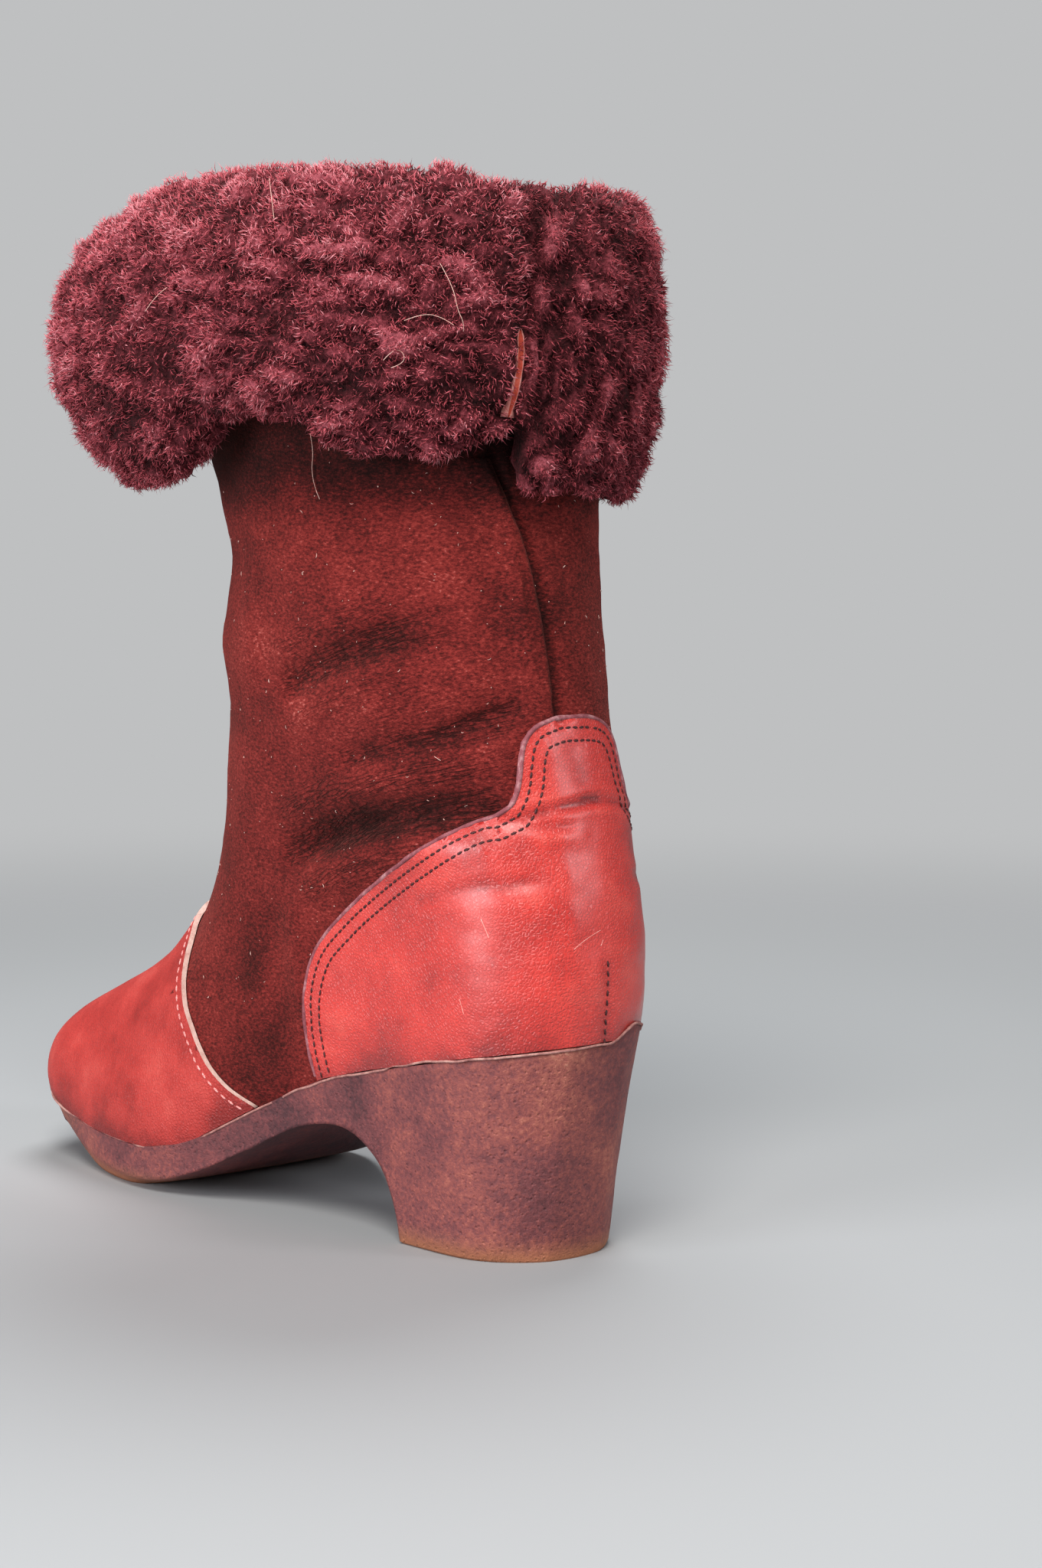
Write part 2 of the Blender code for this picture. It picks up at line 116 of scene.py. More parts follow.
def form_of(mesh):
    form = bmesh.new()
    form.from_mesh(mesh)
    return form


def node_copy(node):
    """A CAD node's mesh as a bmesh with its loose triangles joined."""
    form = form_of(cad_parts[node].data)
    bmesh.ops.remove_doubles(form, verts=form.verts[:], dist=SAME_POINT * MM)
    return form


def to_mesh(form, name):
    mesh = bpy.data.meshes.new(name)
    form.to_mesh(mesh)
    form.free()
    return mesh


def tree_of(mesh):
    """A mesh's faces, ready to be searched and hit by rays."""
    form = form_of(mesh)
    tree = BVHTree.FromBMesh(form)
    form.free()
    return tree


def finder_of(points):
    finder = KDTree(len(points))
    for i, point in enumerate(points):
        finder.insert(point, i)
    finder.balance()
    return finder


def applied(data, kind=None, **settings):
    """A mesh or a curve as a new mesh, after one modifier where a kind is given."""
    helper = in_scene("helper", data)
    if kind:
        modifier = helper.modifiers.new(kind, kind)
        for name, value in settings.items():
            setattr(modifier, name, value)
    mesh = bpy.data.meshes.new_from_object(helper.evaluated_get(bpy.context.evaluated_depsgraph_get()))
    bpy.data.objects.remove(helper)
    return mesh


def rounded(form, name, levels, hard_degrees):
    """The form with its triangles paired to quads and subdivided, its hard edges kept."""
    bmesh.ops.join_triangles(
        form,
        faces=form.faces[:],
        angle_face_threshold=math.radians(PAIR_BEND),
        angle_shape_threshold=math.radians(PAIR_SKEW),
    )
    crease = form.edges.layers.float.get("crease_edge") or form.edges.layers.float.new("crease_edge")
    for edge in form.edges:
        if edge.is_manifold and edge.calc_face_angle() > math.radians(hard_degrees):
            edge[crease] = 1.0
    return applied(to_mesh(form, name), "SUBSURF", levels=levels, render_levels=levels)


def vectors_of(items, key):
    values = np.zeros(len(items) * 3)
    items.foreach_get(key, values)
    return values.reshape(-1, 3)


def places_of(mesh):
    return vectors_of(mesh.vertices, "co")


def normals_of(mesh):
    return vectors_of(mesh.vertex_normals, "vector")


def move_to(mesh, places):
    mesh.vertices.foreach_set("co", places.ravel())
    mesh.update()


def moved(places, ways, amounts):
    """Places moved along their ways by amounts in mm."""
    return places + ways * (amounts * MM)[:, None]


def remember(mesh, name, values):
    """A number for each vertex that a material reads by name."""
    mesh.attributes.new(name, "FLOAT", "POINT").data.foreach_set("value", values.astype(np.float32))


def piece(name, mesh, slot, finishes, stands_for=None):
    """A finished piece that rides on the boot."""
    for finish in finishes:
        mesh.materials.append(finish)
    mesh.polygons.foreach_set("use_smooth", [True] * len(mesh.polygons))
    obj = in_scene(name, mesh)
    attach(obj, "root")
    if stands_for:
        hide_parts(stands_for)


def tie(links, one, two):
    links.setdefault(one, []).append(two)
    links.setdefault(two, []).append(one)


def chains(links, from_ends=True):
    """Linked keys in rows. A row starts at a free end, where there is one and it is asked for, or at the lowest key."""
    left = set(links)
    while left:
        ends = [k for k in left if len(links[k]) == 1] if from_ends else []
        key = min(ends or left)
        row = []
        while key is not None:
            left.discard(key)
            row.append(key)
            key = next((k for k in links[key] if k in left), None)
        yield row


def smoothed(points, times):
    """A line of places with its kinks eased and its ends kept."""
    points = np.array(points)
    for _ in range(times):
        points[1:-1] = (points[:-2] + 2 * points[1:-1] + points[2:]) / 4
    return points


def run_of(points):
    """How far along its line each point lies."""
    return np.concatenate([[0], np.cumsum(np.linalg.norm(np.diff(points, axis=0), axis=1))])


def between(at, run, rows):
    """The row of three numbers at a place between the rows."""
    return [np.interp(at, run, rows[:, i]) for i in range(3)]


def thread_along(points, radius, closed):
    """A thin round thread through points, as a mesh."""
    path = bpy.data.curves.new("path", "CURVE")
    path.dimensions = "3D"
    path.bevel_depth = radius * MM
    path.bevel_resolution = 1
    path.use_fill_caps = True
    path.resolution_u = 5
    line = path.splines.new("NURBS")
    line.points.add(len(points) - 1)
    for knot, place in zip(line.points, points):
        knot.co = (*place, 1.0)
    line.order_u = 3
    line.use_cyclic_u = closed
    line.use_endpoint_u = not closed
    return applied(path)


def threads(name, lines, radius, rings=()):
    """Closed rings and open lines of thread, joined."""
    form = bmesh.new()
    for points in rings:
        form.from_mesh(thread_along(points, radius, True))
    for points in lines:
        form.from_mesh(thread_along(points, radius, False))
    bmesh.ops.recalc_face_normals(form, faces=form.faces[:])
    return to_mesh(form, name)


# ---------------- finishes


def hue(code):
    """An sRGB hex colour as linear red, green, blue, alpha."""
    parts = [int(code[i : i + 2], 16) / 255 for i in (1, 3, 5)]
    return tuple(p / 12.92 if p <= 0.04045 else ((p + 0.055) / 1.055) ** 2.4 for p in parts) + (1.0,)


def put(tree, kind, settings=None, links=None, out=0):
    """Adds a node with its settings and its links, by socket name or number, and gives the output that is asked for.
    "stops" are (place, hex) pairs."""
    node = tree.nodes.new("ShaderNode" + kind)
    for name, value in (settings or {}).items():
        if name == "stops":
            points = node.color_ramp.elements
            while len(points) < len(value):
                points.new(0.5)
            for point, (place, code) in zip(points, value):
                point.position = place
                point.color = hue(code)
        elif isinstance(name, int) or name in node.inputs:
            node.inputs[name].default_value = value
        else:
            setattr(node, name, value)
    for name, source in (links or {}).items():
        tree.links.new(source, node.inputs[name])
    return node.outputs[out] if node.outputs else None


def new_finish(name):
    """A material, its node tree and the coordinates of the boot itself."""
    finish = bpy.data.materials.new(name)
    finish.use_nodes = True
    finish.node_tree.nodes.clear()
    return finish, finish.node_tree, put(finish.node_tree, "TexCoord", out="Object")


def surfaced(finish, settings, links):
    """The material with its shader at the end of its nodes."""
    shader = put(finish.node_tree, "BsdfPrincipled", settings, links)
    put(finish.node_tree, "OutputMaterial", links={"Surface": shader})
    return finish


def weighted(tree, start, *terms):
    """A start value plus each source times its weight."""
    level = None
    for source, weight in terms:
        first = level is None
        settings = {"operation": "MULTIPLY_ADD", 1: weight, 2: start if first else 0.0}
        level = put(tree, "Math", settings, {0: source} if first else {0: source, 2: level})
    return level


def grit(size):
    """A texture scale, in repeats a metre, for a grain of that size in mm."""
    return 1.0 / (size * MM)


def suede_finish():
    """Suede, the sanded flesh side of the hide: a matt nap of short fibres that lies in fine level creases, rubbed
    brighter on the folds' backs, with painted shade in the troughs, the fine creases, beside the back seam and under
    the cuff."""
    finish, tree, coords = new_finish("suede_hide")
    rub, around, climb, creased = (
        put(tree, "Attribute", {"attribute_name": name}, out="Fac") for name in ("rub", "around", "climb", "creased")
    )
    patches = put(tree, "TexNoise", {"Scale": grit(24), "Detail": 4.0, "Roughness": 0.6}, {"Vector": coords})
    # Single fibres are too fine to show. The nap is drawn coarser, in clumps of 1 mm with tips of 0.6 mm.
    lay = put(tree, "Mapping", {"Rotation": (0.1, 0.1, 0.0), "Scale": (0.75, 0.75, 1.5)}, {"Vector": coords})
    nap = put(tree, "TexNoise", {"Scale": grit(1.0), "Detail": 4.0, "Roughness": 0.72}, {"Vector": lay})
    fibre = put(tree, "TexNoise", {"Scale": grit(0.6), "Detail": 2.0, "Roughness": 0.6}, {"Vector": coords})
    # A crease lies where a noise with patches of 8 by 1.5 mm crosses its middle.
    flat = put(tree, "CombineXYZ", links={"X": around, "Y": climb})
    pulled = put(tree, "Mapping", {"Scale": (1 / 8.0, 1 / 1.5, 1.0)}, {"Vector": flat})
    lines = put(tree, "TexNoise", {"Scale": 1.0, "Detail": 2.0, "Roughness": 0.5}, {"Vector": pulled})
    off = put(tree, "Math", {"operation": "SUBTRACT", 1: 0.5}, {0: lines})
    off = put(tree, "Math", {"operation": "ABSOLUTE"}, {0: off})
    line = put(tree, "MapRange", {"From Max": 0.09, "To Min": 1.0, "To Max": 0.0}, {"Value": off})
    line = put(tree, "Math", {"operation": "MULTIPLY"}, {0: line, 1: creased})
    # The tone attribute carries the rubbing on the folds' backs and the painted shade; the fine crease lines add a
    # little painted shade too.
    worn = {"From Min": -3.0, "From Max": 1.0, "To Min": -0.30, "To Max": 0.07}
    tone = put(tree, "MapRange", worn, {"Value": rub})
    level = weighted(tree, -0.3, (patches, 0.5), (nap, 1.1), (tone, 1.0), (line, -0.16))
    dye = ((0.12, "#180706"), (0.32, "#3c1211"), (0.50, "#671f1d"), (0.66, "#862f2a"), (0.85, "#ba6c63"))
    colour = put(tree, "ValToRGB", {"stops": dye}, {"Fac": level})
    high = weighted(tree, 0.0, (nap, 1.0), (fibre, 0.5), (line, -1.1))
    bump = put(tree, "Bump", {"Strength": 0.8, "Distance": 0.5 * MM}, {"Height": high})
    sheen = {"Sheen Weight": 0.2, "Sheen Roughness": 0.45, "Sheen Tint": hue("#c9756a")}
    matt = {"Roughness": 0.95, "Specular IOR Level": 0.12}
    return surfaced(finish, {**matt, **sheen}, {"Base Color": colour, "Normal": bump})


def leather_finish(name, stops, roughness, coat):
    """Smooth full-grain leather, dyed through and waxed: fine pebbled grain, pores, a soft sheen that the grain
    breaks up, painted shade that makes it a little darker in the low places, and dirt and painted shade along the sole."""
    finish, tree, coords = new_finish(name)
    rub = put(tree, "Attribute", {"attribute_name": "rub"}, out="Fac")
    clouds = put(tree, "TexNoise", {"Scale": grit(19), "Detail": 4.0, "Roughness": 0.6}, {"Vector": coords})
    cells = {"feature": "DISTANCE_TO_EDGE", "Scale": grit(1.05), "Randomness": 1.0}
    pebble = put(tree, "TexVoronoi", cells, {"Vector": coords})
    pull = put(tree, "Mapping", {"Rotation": (0.5, 0.3, 0.6), "Scale": (1.0, 1.0, 0.28)}, {"Vector": coords})
    wrinkle = put(tree, "TexNoise", {"Scale": grit(1.6), "Detail": 3.0, "Roughness": 0.6}, {"Vector": pull})
    # Pores are too fine to show and are drawn coarser, at 0.7 mm.
    pores = put(tree, "TexNoise", {"Scale": grit(0.7), "Detail": 2.0}, {"Vector": coords})
    # The tone attribute darkens the low places with painted shade and the band along the sole with dirt and painted
    # shade.
    level = weighted(tree, -0.11, (clouds, 1.0), (pores, 0.22), (rub, 0.3))
    colour = put(tree, "ValToRGB", {"stops": stops}, {"Fac": level})
    waxed = {"From Min": 0.3, "From Max": 0.7, "To Min": roughness - 0.06, "To Max": roughness + 0.09}
    gloss = put(tree, "MapRange", waxed, {"Value": clouds})
    furrow = put(tree, "MapRange", {"From Min": 0.0, "From Max": 0.28}, {"Value": pebble})
    high = weighted(tree, 0.0, (furrow, 1.0), (wrinkle, 0.8), (pores, 0.35))
    bump = put(tree, "Bump", {"Strength": 0.7, "Distance": 0.22 * MM}, {"Height": high})
    wax = {"Specular IOR Level": 0.34, "Coat Weight": coat, "Coat Roughness": 0.4}
    return surfaced(finish, wax, {"Base Color": colour, "Roughness": gloss, "Normal": bump})


def fibre_finish(name, stops, stain, relief, strength, depth, roughness, specular):
    """A matt material of fibres: one noise (grain in mm, detail, roughness) stains it and one gives it relief."""
    finish, tree, coords = new_finish(name)
    stained, raised = (
        put(tree, "TexNoise", {"Scale": grit(size), "Detail": detail, "Roughness": rough}, {"Vector": coords})
        for size, detail, rough in (stain, relief)
    )
    colour = put(tree, "ValToRGB", {"stops": stops}, {"Fac": stained})
    bump = put(tree, "Bump", {"Strength": strength, "Distance": depth * MM}, {"Height": raised})
    matt = {"Roughness": roughness, "Specular IOR Level": specular}
    return surfaced(finish, matt, {"Base Color": colour, "Normal": bump})


def raw_edge_finish(name, stops):
    """Cut edge of leather: undyed fibres, matt and a little ragged, with dye soaked in here and there. The fibres
    are drawn coarser than they are, at 0.5 mm."""
    return fibre_finish(
        name, stops, (4, 5.0, 0.75), (0.5, 3.0, 0.5), strength=0.6, depth=0.25, roughness=0.88, specular=0.25
    )


def thread_finish(name, dark, light):
    """Waxed sewing thread: twisted plies that catch a little light, drawn coarser than they are, at 0.5 mm."""
    twist = (0.5, 1.0, 0.5)
    plies = ((0.35, dark), (0.65, light))
    return fibre_finish(name, plies, twist, twist, strength=0.4, depth=0.1, roughness=0.55, specular=0.4)


def board_finish():
    """Insole board under its sock: pressed fibre, matt and flecked, dyed to match the wool."""
    fleck = (2.2, 5.0, 0.7)
    stops = ((0.3, "#3a1418"), (0.6, "#5e262d"), (0.8, "#7a3d44"))
    return fibre_finish("insole_board", stops, fleck, fleck, strength=0.7, depth=0.5, roughness=0.95, specular=0.15)


def crepe_finish():
    """Crepe rubber, milled natural rubber: waxy, mottled from tan to purple-brown, with tiny pits, and worn to its
    own tan near the ground and at the toe. Painted shade darkens it from the waist forward, most under the arch."""
    finish, tree, coords = new_finish("crepe_rubber")
    depth, worn = (put(tree, "Attribute", {"attribute_name": name}, out="Fac") for name in ("rub", "worn"))
    clouds = put(tree, "TexNoise", {"Scale": grit(28), "Detail": 4.0, "Roughness": 0.6}, {"Vector": coords})
    crumb = put(tree, "TexNoise", {"Scale": grit(1.4), "Detail": 5.0, "Roughness": 0.72}, {"Vector": coords})
    pits = put(tree, "TexVoronoi", {"Scale": grit(1.7), "Randomness": 1.0}, {"Vector": coords})
    # depth carries the painted shade from the waist forward.
    level = weighted(tree, -0.45, (clouds, 1.0), (crumb, 0.9), (depth, 0.2))
    mottle = ((0.15, "#472429"), (0.40, "#713a3c"), (0.56, "#8e4a44"), (0.72, "#a86152"), (0.92, "#c9937c"))
    colour = put(tree, "ValToRGB", {"stops": mottle}, {"Fac": level})
    ragged = weighted(tree, -0.6, (crumb, 1.2))
    wear = put(tree, "Math", {"operation": "ADD", "use_clamp": True}, {0: worn, 1: ragged})
    wear = put(tree, "Math", {"operation": "MULTIPLY", "use_clamp": True}, {0: wear, 1: worn})
    bare = put(tree, "Mix", {"data_type": "RGBA", 7: hue("#ab6c4c")}, {0: wear, 6: colour}, out=2)
    hole = put(tree, "MapRange", {"From Min": 0.05, "From Max": 0.3}, {"Value": pits})
    high = weighted(tree, 0.0, (crumb, 1.0), (hole, 0.5))
    bump = put(tree, "Bump", {"Strength": 0.9, "Distance": 0.6 * MM}, {"Height": high})
    gloss = put(tree, "MapRange", {"To Min": 0.5, "To Max": 0.72}, {"Value": crumb})
    rubber = {"Specular IOR Level": 0.4, "IOR": 1.52}
    return surfaced(finish, rubber, {"Base Color": bare, "Roughness": gloss, "Normal": bump})


def wool_finish(name, stops, speckle, relief):
    """Dyed sheep's wool: matt crimped fibres whose colour follows the locks' lift: pale and pink at the tips, and near
    black down between the locks, which is painted shade.
    """
    finish, tree, coords = new_finish(name)
    lift = put(tree, "Attribute", {"attribute_name": "lift"}, out="Fac")
    fuzz = put(tree, "TexNoise", {"Scale": grit(1.2), "Detail": 3.0, "Roughness": 0.7}, {"Vector": coords})
    dye = put(tree, "TexNoise", {"Scale": grit(17), "Detail": 2.0}, {"Vector": coords})
    level = weighted(tree, -speckle / 2 - 0.15, (lift, 1.0), (fuzz, speckle), (dye, 0.3))
    colour = put(tree, "ValToRGB", {"stops": stops}, {"Fac": level})
    bump = put(tree, "Bump", {"Strength": 0.9, "Distance": relief * MM}, {"Height": fuzz})
    sheen = {"Sheen Weight": 0.05, "Sheen Roughness": 0.5, "Sheen Tint": hue("#e0a09c")}
    matt = {"Roughness": 0.9, "Specular IOR Level": 0.15}
    return surfaced(finish, {**matt, **sheen}, {"Base Color": colour, "Normal": bump})


suede = suede_finish()
vamp_leather = leather_finish(
    "waxed_vamp_leather",
    ((0.22, "#7e1f1c"), (0.42, "#a32e29"), (0.58, "#b33832"), (0.8, "#c34f46")),
    roughness=0.52,
    coat=0.05,
)
counter_leather = leather_finish(
    "waxed_counter_leather",
    ((0.2, "#8a1714"), (0.40, "#b6251e"), (0.58, "#c82f26"), (0.8, "#d8493d")),
    roughness=0.38,
    coat=1.0,
)
vamp_edge = raw_edge_finish("raw_vamp_edge", ((0.3, "#c79a90"), (0.5, "#e2c1b6"), (0.75, "#ecd6cc")))
counter_edge = raw_edge_finish("raw_counter_edge", ((0.3, "#672f36"), (0.52, "#8c5157"), (0.75, "#bd9192")))
cut_skin = raw_edge_finish("cut_skin", ((0.3, "#8c2a20"), (0.55, "#b44836"), (0.8, "#cf7564")))
cut_grain = raw_edge_finish("cut_skin_grain", ((0.3, "#a2564c"), (0.55, "#c6827a"), (0.8, "#e3b5ad")))
scuffed = raw_edge_finish("scuffed_leather", ((0.3, "#d2655c"), (0.5, "#e59a91"), (0.75, "#f0bdb4")))
# The last two give the same torn, matt look: rubber trimmed with a knife, and single fibres without dye.
lip_rubber = raw_edge_finish("trimmed_crepe", ((0.3, "#704240"), (0.5, "#a0706a"), (0.75, "#cda69a")))
stray_wool = raw_edge_finish("stray_wool", ((0.3, "#c79386"), (0.6, "#dcb6aa"), (0.8, "#ecd7cf")))
dark_thread = thread_finish("dark_thread", "#2a0c0c", "#4e1b1d")
pink_thread = thread_finish("pink_thread", "#c76d69", "#e9a9a4")
crepe = crepe_finish()
# The wool core and the lining get darker stops than the strands: painted shade, so that the core reads as shadow where
# it shows between the locks.
wool_in_painted_shade = wool_finish(
    "wool_underside_painted_shade",
    ((0.0, "#140506"), (0.35, "#3e1318"), (0.7, "#722e36"), (1.0, "#a2525b")),
    speckle=1.3,
    relief=1.4,
)
wool = wool_finish(
    "wool_locks",
    ((0.0, "#2c0b0f"), (0.25, "#6f2830"), (0.55, "#a94851"), (0.82, "#cb6670"), (1.0, "#dc9097")),
    speckle=0.4,
    relief=0.6,
)
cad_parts["insole"].data.materials.clear()
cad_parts["insole"].data.materials.append(board_finish())

# ---------------- folds

# Folds of the hide: three places (turn, height) that the fold's line passes through, its half width and its depth.
# A negative depth is a swelling. The first rows are those that the photograph shows on the outer side and the back.
SUEDE_FOLDS = (
    ((100, 156), (70, 165), (34, 176.5), 4.4, 2.7),
    ((54, 173.5), (40, 177.5), (27, 180.5), 1.7, 0.7),
    ((50, 168), (38, 172), (24, 175), 1.7, 0.8),
    ((44, 165), (33, 169.5), (22, 171), 1.6, 0.5),
    ((72, 137), (40, 143.5), (9, 154.5), 4.2, 1.7),
    ((35, 144.5), (25, 149.0), (11, 153.8), 1.5, 0.9),
    ((31, 141), (22, 145.5), (13, 149.5), 1.5, 0.7),
    ((29, 148.5), (20, 152.5), (11, 156.5), 1.4, 0.6),
    ((120, 107), (60, 119.5), (14, 128), 5.2, 4.4),
    ((62, 154), (40, 159), (15, 164), 8.0, -1.5),
    ((82, 109), (50, 115.5), (33, 119), 4.5, -1.0),
    ((100, 199), (50, 197), (12, 196), 13.0, -1.2),
    ((128, 96), (126, 75), (118, 52), 8.0, 0.8),
    ((112, 98), (110, 80), (104, 58), 6.0, -0.6),
    # the inner side and the front, which the photograph doesn't show, wear in the same way
    ((-34, 172), (-75, 164), (-112, 158), 5.5, 1.9),
    ((-66, 168), (-80, 165.5), (-96, 162), 1.7, 0.6),
    ((-30, 146), (-66, 140), (-96, 135), 5.0, 1.2),
    ((-64, 144), (-76, 141), (-88, 138), 1.5, 0.6),
    ((-34, 124), (-80, 116.5), (-130, 107), 6.0, 2.4),
    ((-60, 157), (-80, 154), (-100, 150), 8.0, -0.9),
    ((-60, 196), (-85, 197), (-110, 199), 13.0, -0.8),
    ((160, 109), (180, 116), (200, 109), 6.0, 1.7),
    ((162, 134), (181, 137), (200, 133), 5.5, 1.2),
    ((158, 122), (180, 127), (202, 121), 6.0, -0.8),
    ((100, 172), (133, 170), (166, 172), 9.0, -1.6),
    ((105, 194), (133, 193), (160, 194), 7.0, 0.6),
    ((102, 149), (130, 148), (158, 149), 7.0, 0.8),
)
CREASED_FOLDS = 9  # the first rows have fine creases beside them
# Creases of the counter: at the foot of its tongue, across the heel's side, and down the tongue.
COUNTER_FOLDS = (
    ((20, 121.6), (10, 126.2), (-8, 129.0), 1.3, 1.0),
    ((18.5, 120.2), (11, 122.2), (3, 121.0), 1.5, 0.6),
    ((15, 118.0), (8, 119.5), (0, 119.0), 3.0, -0.5),
    ((40, 98.5), (26, 104.8), (9, 107.8), 1.8, 0.55),
    ((30, 96.0), (20, 100.5), (8, 101.0), 3.5, -0.35),
    ((2.8, 145.0), (1.6, 138.0), (1.4, 131.0), 2.0, 0.2),
    ((-19, 122.5), (-9, 127.0), (4, 129.0), 1.3, 0.8),
    ((-38, 98.0), (-24, 104.0), (-9, 107.0), 1.8, 0.5),
    ((0.4, 87.0), (0.4, 74.0), (0.4, 58.0), 1.2, 0.45),
)
FOLD_POINTS = 27
FOLD_ENDS = 0.22  # share of a fold's length in which it runs out
RIDGE, RIDGE_AT, RIDGE_WIDTH = 0.3, 2.1, 1.1  # beside a trough, in its depths and half widths
# The back seam, where the outer panel laps over the back one: turn and height of its line, from under the counter's
# tongue up to the cuff.
BACK_SEAM = (
    (4.9, 147.0),
    (4.3, 157.0),
    (4.5, 169.4),
    (5.2, 179.9),
    (6.6, 190.4),
    (9.2, 200.9),
    (13.5, 210.3),
    (18.5, 222.0),
)
SEAM_RADIUS = 62.0
SEAM_STARTS, SEAM_ENDS = (147, 152), (224, 234)
SEAM_GROOVE, GROOVE_AT, GROOVE_WIDTH, GROOVE_STOPS = 1.6, -0.4, 1.8, 1.0
SEAM_SWELL, SWELL_AT, SWELL_WIDTH = 0.35, 6.0, 4.0
# Heights where the folds begin and end, each with the mm that they take to grow.
FOLDS_BEGIN, FOLDS_END = (30, 25), (262, 20)


def fold_moves(places, folds):
    """How far the folds move each place out of the shaft, in mm."""
    along, side, height = boot_sizes(places)
    around = np.radians(turn_of(along, side)) * SHAFT_RADIUS
    full = 2 * math.pi * SHAFT_RADIUS
    t = np.linspace(0, 1, FOLD_POINTS)
    weights = np.array([(1 - t) * (1 - 2 * t), 4 * t * (1 - t), t * (2 * t - 1)])
    moves = np.zeros(len(places))
    for start, middle, end, width, depth in folds:
        run = weights.T @ np.array([start, middle, end], float)
        across = around[:, None] - np.radians(run[:, 0]) * SHAFT_RADIUS
        across = (across + full / 2) % full - full / 2
        gaps = np.hypot(across, height[:, None] - run[:, 1])
        nearest = gaps.argmin(1)
        gap = gaps[np.arange(len(places)), nearest]
        ends = ramp(np.minimum(t, 1 - t)[nearest], 0, FOLD_ENDS)
        moves -= depth * ends * hill(gap, 0, width)
        if depth > 0:
            moves += RIDGE * depth * ends * hill(gap, RIDGE_AT * width, RIDGE_WIDTH * width)
    return moves


def seam_turn(height):
    turns, heights = zip(*BACK_SEAM)
    return np.interp(height, heights, turns)


def past_seam(places):
    """How far round the shaft each place lies past the back seam, in mm."""
    along, side, height = boot_sizes(places)
    return np.radians(turn_of(along, side) - seam_turn(height)) * SEAM_RADIUS


def seam_moves(places):
    """The groove on the back panel's side of the back seam, and the slight swelling of both panels, in mm."""
    past, height = past_seam(places), boot_sizes(places)[2]
    shown = ramp(height, *SEAM_STARTS) * (1 - ramp(height, *SEAM_ENDS))
    groove = hill(past, GROOVE_AT, GROOVE_WIDTH) * (past < GROOVE_STOPS)
    return (SEAM_SWELL * hill(np.abs(past), SWELL_AT, SWELL_WIDTH) - SEAM_GROOVE * groove) * shown


def hide_moves(places):
    """How far the hide's folds, its back seam and its slow unevenness move each place out of the shaft, in mm."""
    height = boot_sizes(places)[2]
    moves = fold_moves(places, SUEDE_FOLDS) + seam_moves(places)
    moves += uneven(places, ((16, 16, 12), 3.1, 0.45), ((6, 6, 4.5), 8.2, 0.16))
    (low, grows), (high, fades) = FOLDS_BEGIN, FOLDS_END
    return moves * np.clip((height - low) / grows, 0, 1) * np.clip((high - height) / fades, 0, 1)


# ---------------- upper

rng = np.random.default_rng(11)
FOLDED_HEIGHTS = (40, 245)  # where the hide has a finer mesh
# Darker patches in the suede: low on the outer and the inner side, and, in the third to fifth rows, painted shade along
# the deep fold above the counter on the outer side: turn, height, half sizes in degrees and mm, depth.
DARK_PATCHES_AND_SHADE = (
    (136.0, 72.0, 7.0, 17.0, 1.5),
    (128.0, 46.0, 9.0, 11.0, 1.2),
    (70.0, 115.0, 14.0, 6.0, 0.9),
    (48.0, 119.0, 13.0, 5.5, 1.3),
    (30.0, 126.0, 9.0, 4.5, 1.2),
    (-112.0, 80.0, 9.0, 18.0, 1.0),
    (-96.0, 60.0, 9.0, 12.0, 0.7),
)
FOLD_CLIMB = 0.27  # mm that the folds' lines fall for each degree of turn away from the back
# Painted shade in the suede's colour: under the cuff, beside the back seam's groove, and in the folds' troughs.
CUFF_SHADE, CUFF_SHADE_HEIGHTS = 3.7, (201, 229)
SEAM_SHADE, SEAM_SHADE_AT, SEAM_SHADE_WIDTH = 1.6, -0.7, 1.1
FULL_RUB_AND_SHADE, DEEPEST_TROUGH_SHADE = 2.4, -1.9  # mm of fold that are rubbed fully on a fold's back, and the limit of the painted shade in the troughs
FULL_CREASE = 1.3
# The outer panel's edge at the back seam: it stands up at its cut and runs out flat into the hide.
LAP_WIDTH, LAP_RISE, LAP_THICKNESS = 9.0, 1.0, 1.6
LAP_LIFT, LAP_FALL, LAP_RAGGED = 0.04, 1.6, 0.12
OUTSIDE = 140  # a distance from the axis that is well outside the shaft


def outer_faces(form):
    """Faces of the hide that look out of the boot: all that can be reached from the tip of the toe without turning
    over a hard edge."""
    form.faces.ensure_lookup_table()
    reached = {min(form.faces, key=lambda f: f.calc_center_median().y)}
    front = list(reached)
    while front:
        for edge in front.pop().edges:
            if edge.is_manifold and edge.calc_face_angle() < math.radians(HARD_EDGE):
                new = [f for f in edge.link_faces if f not in reached]
                reached.update(new)
                front += new
    return reached


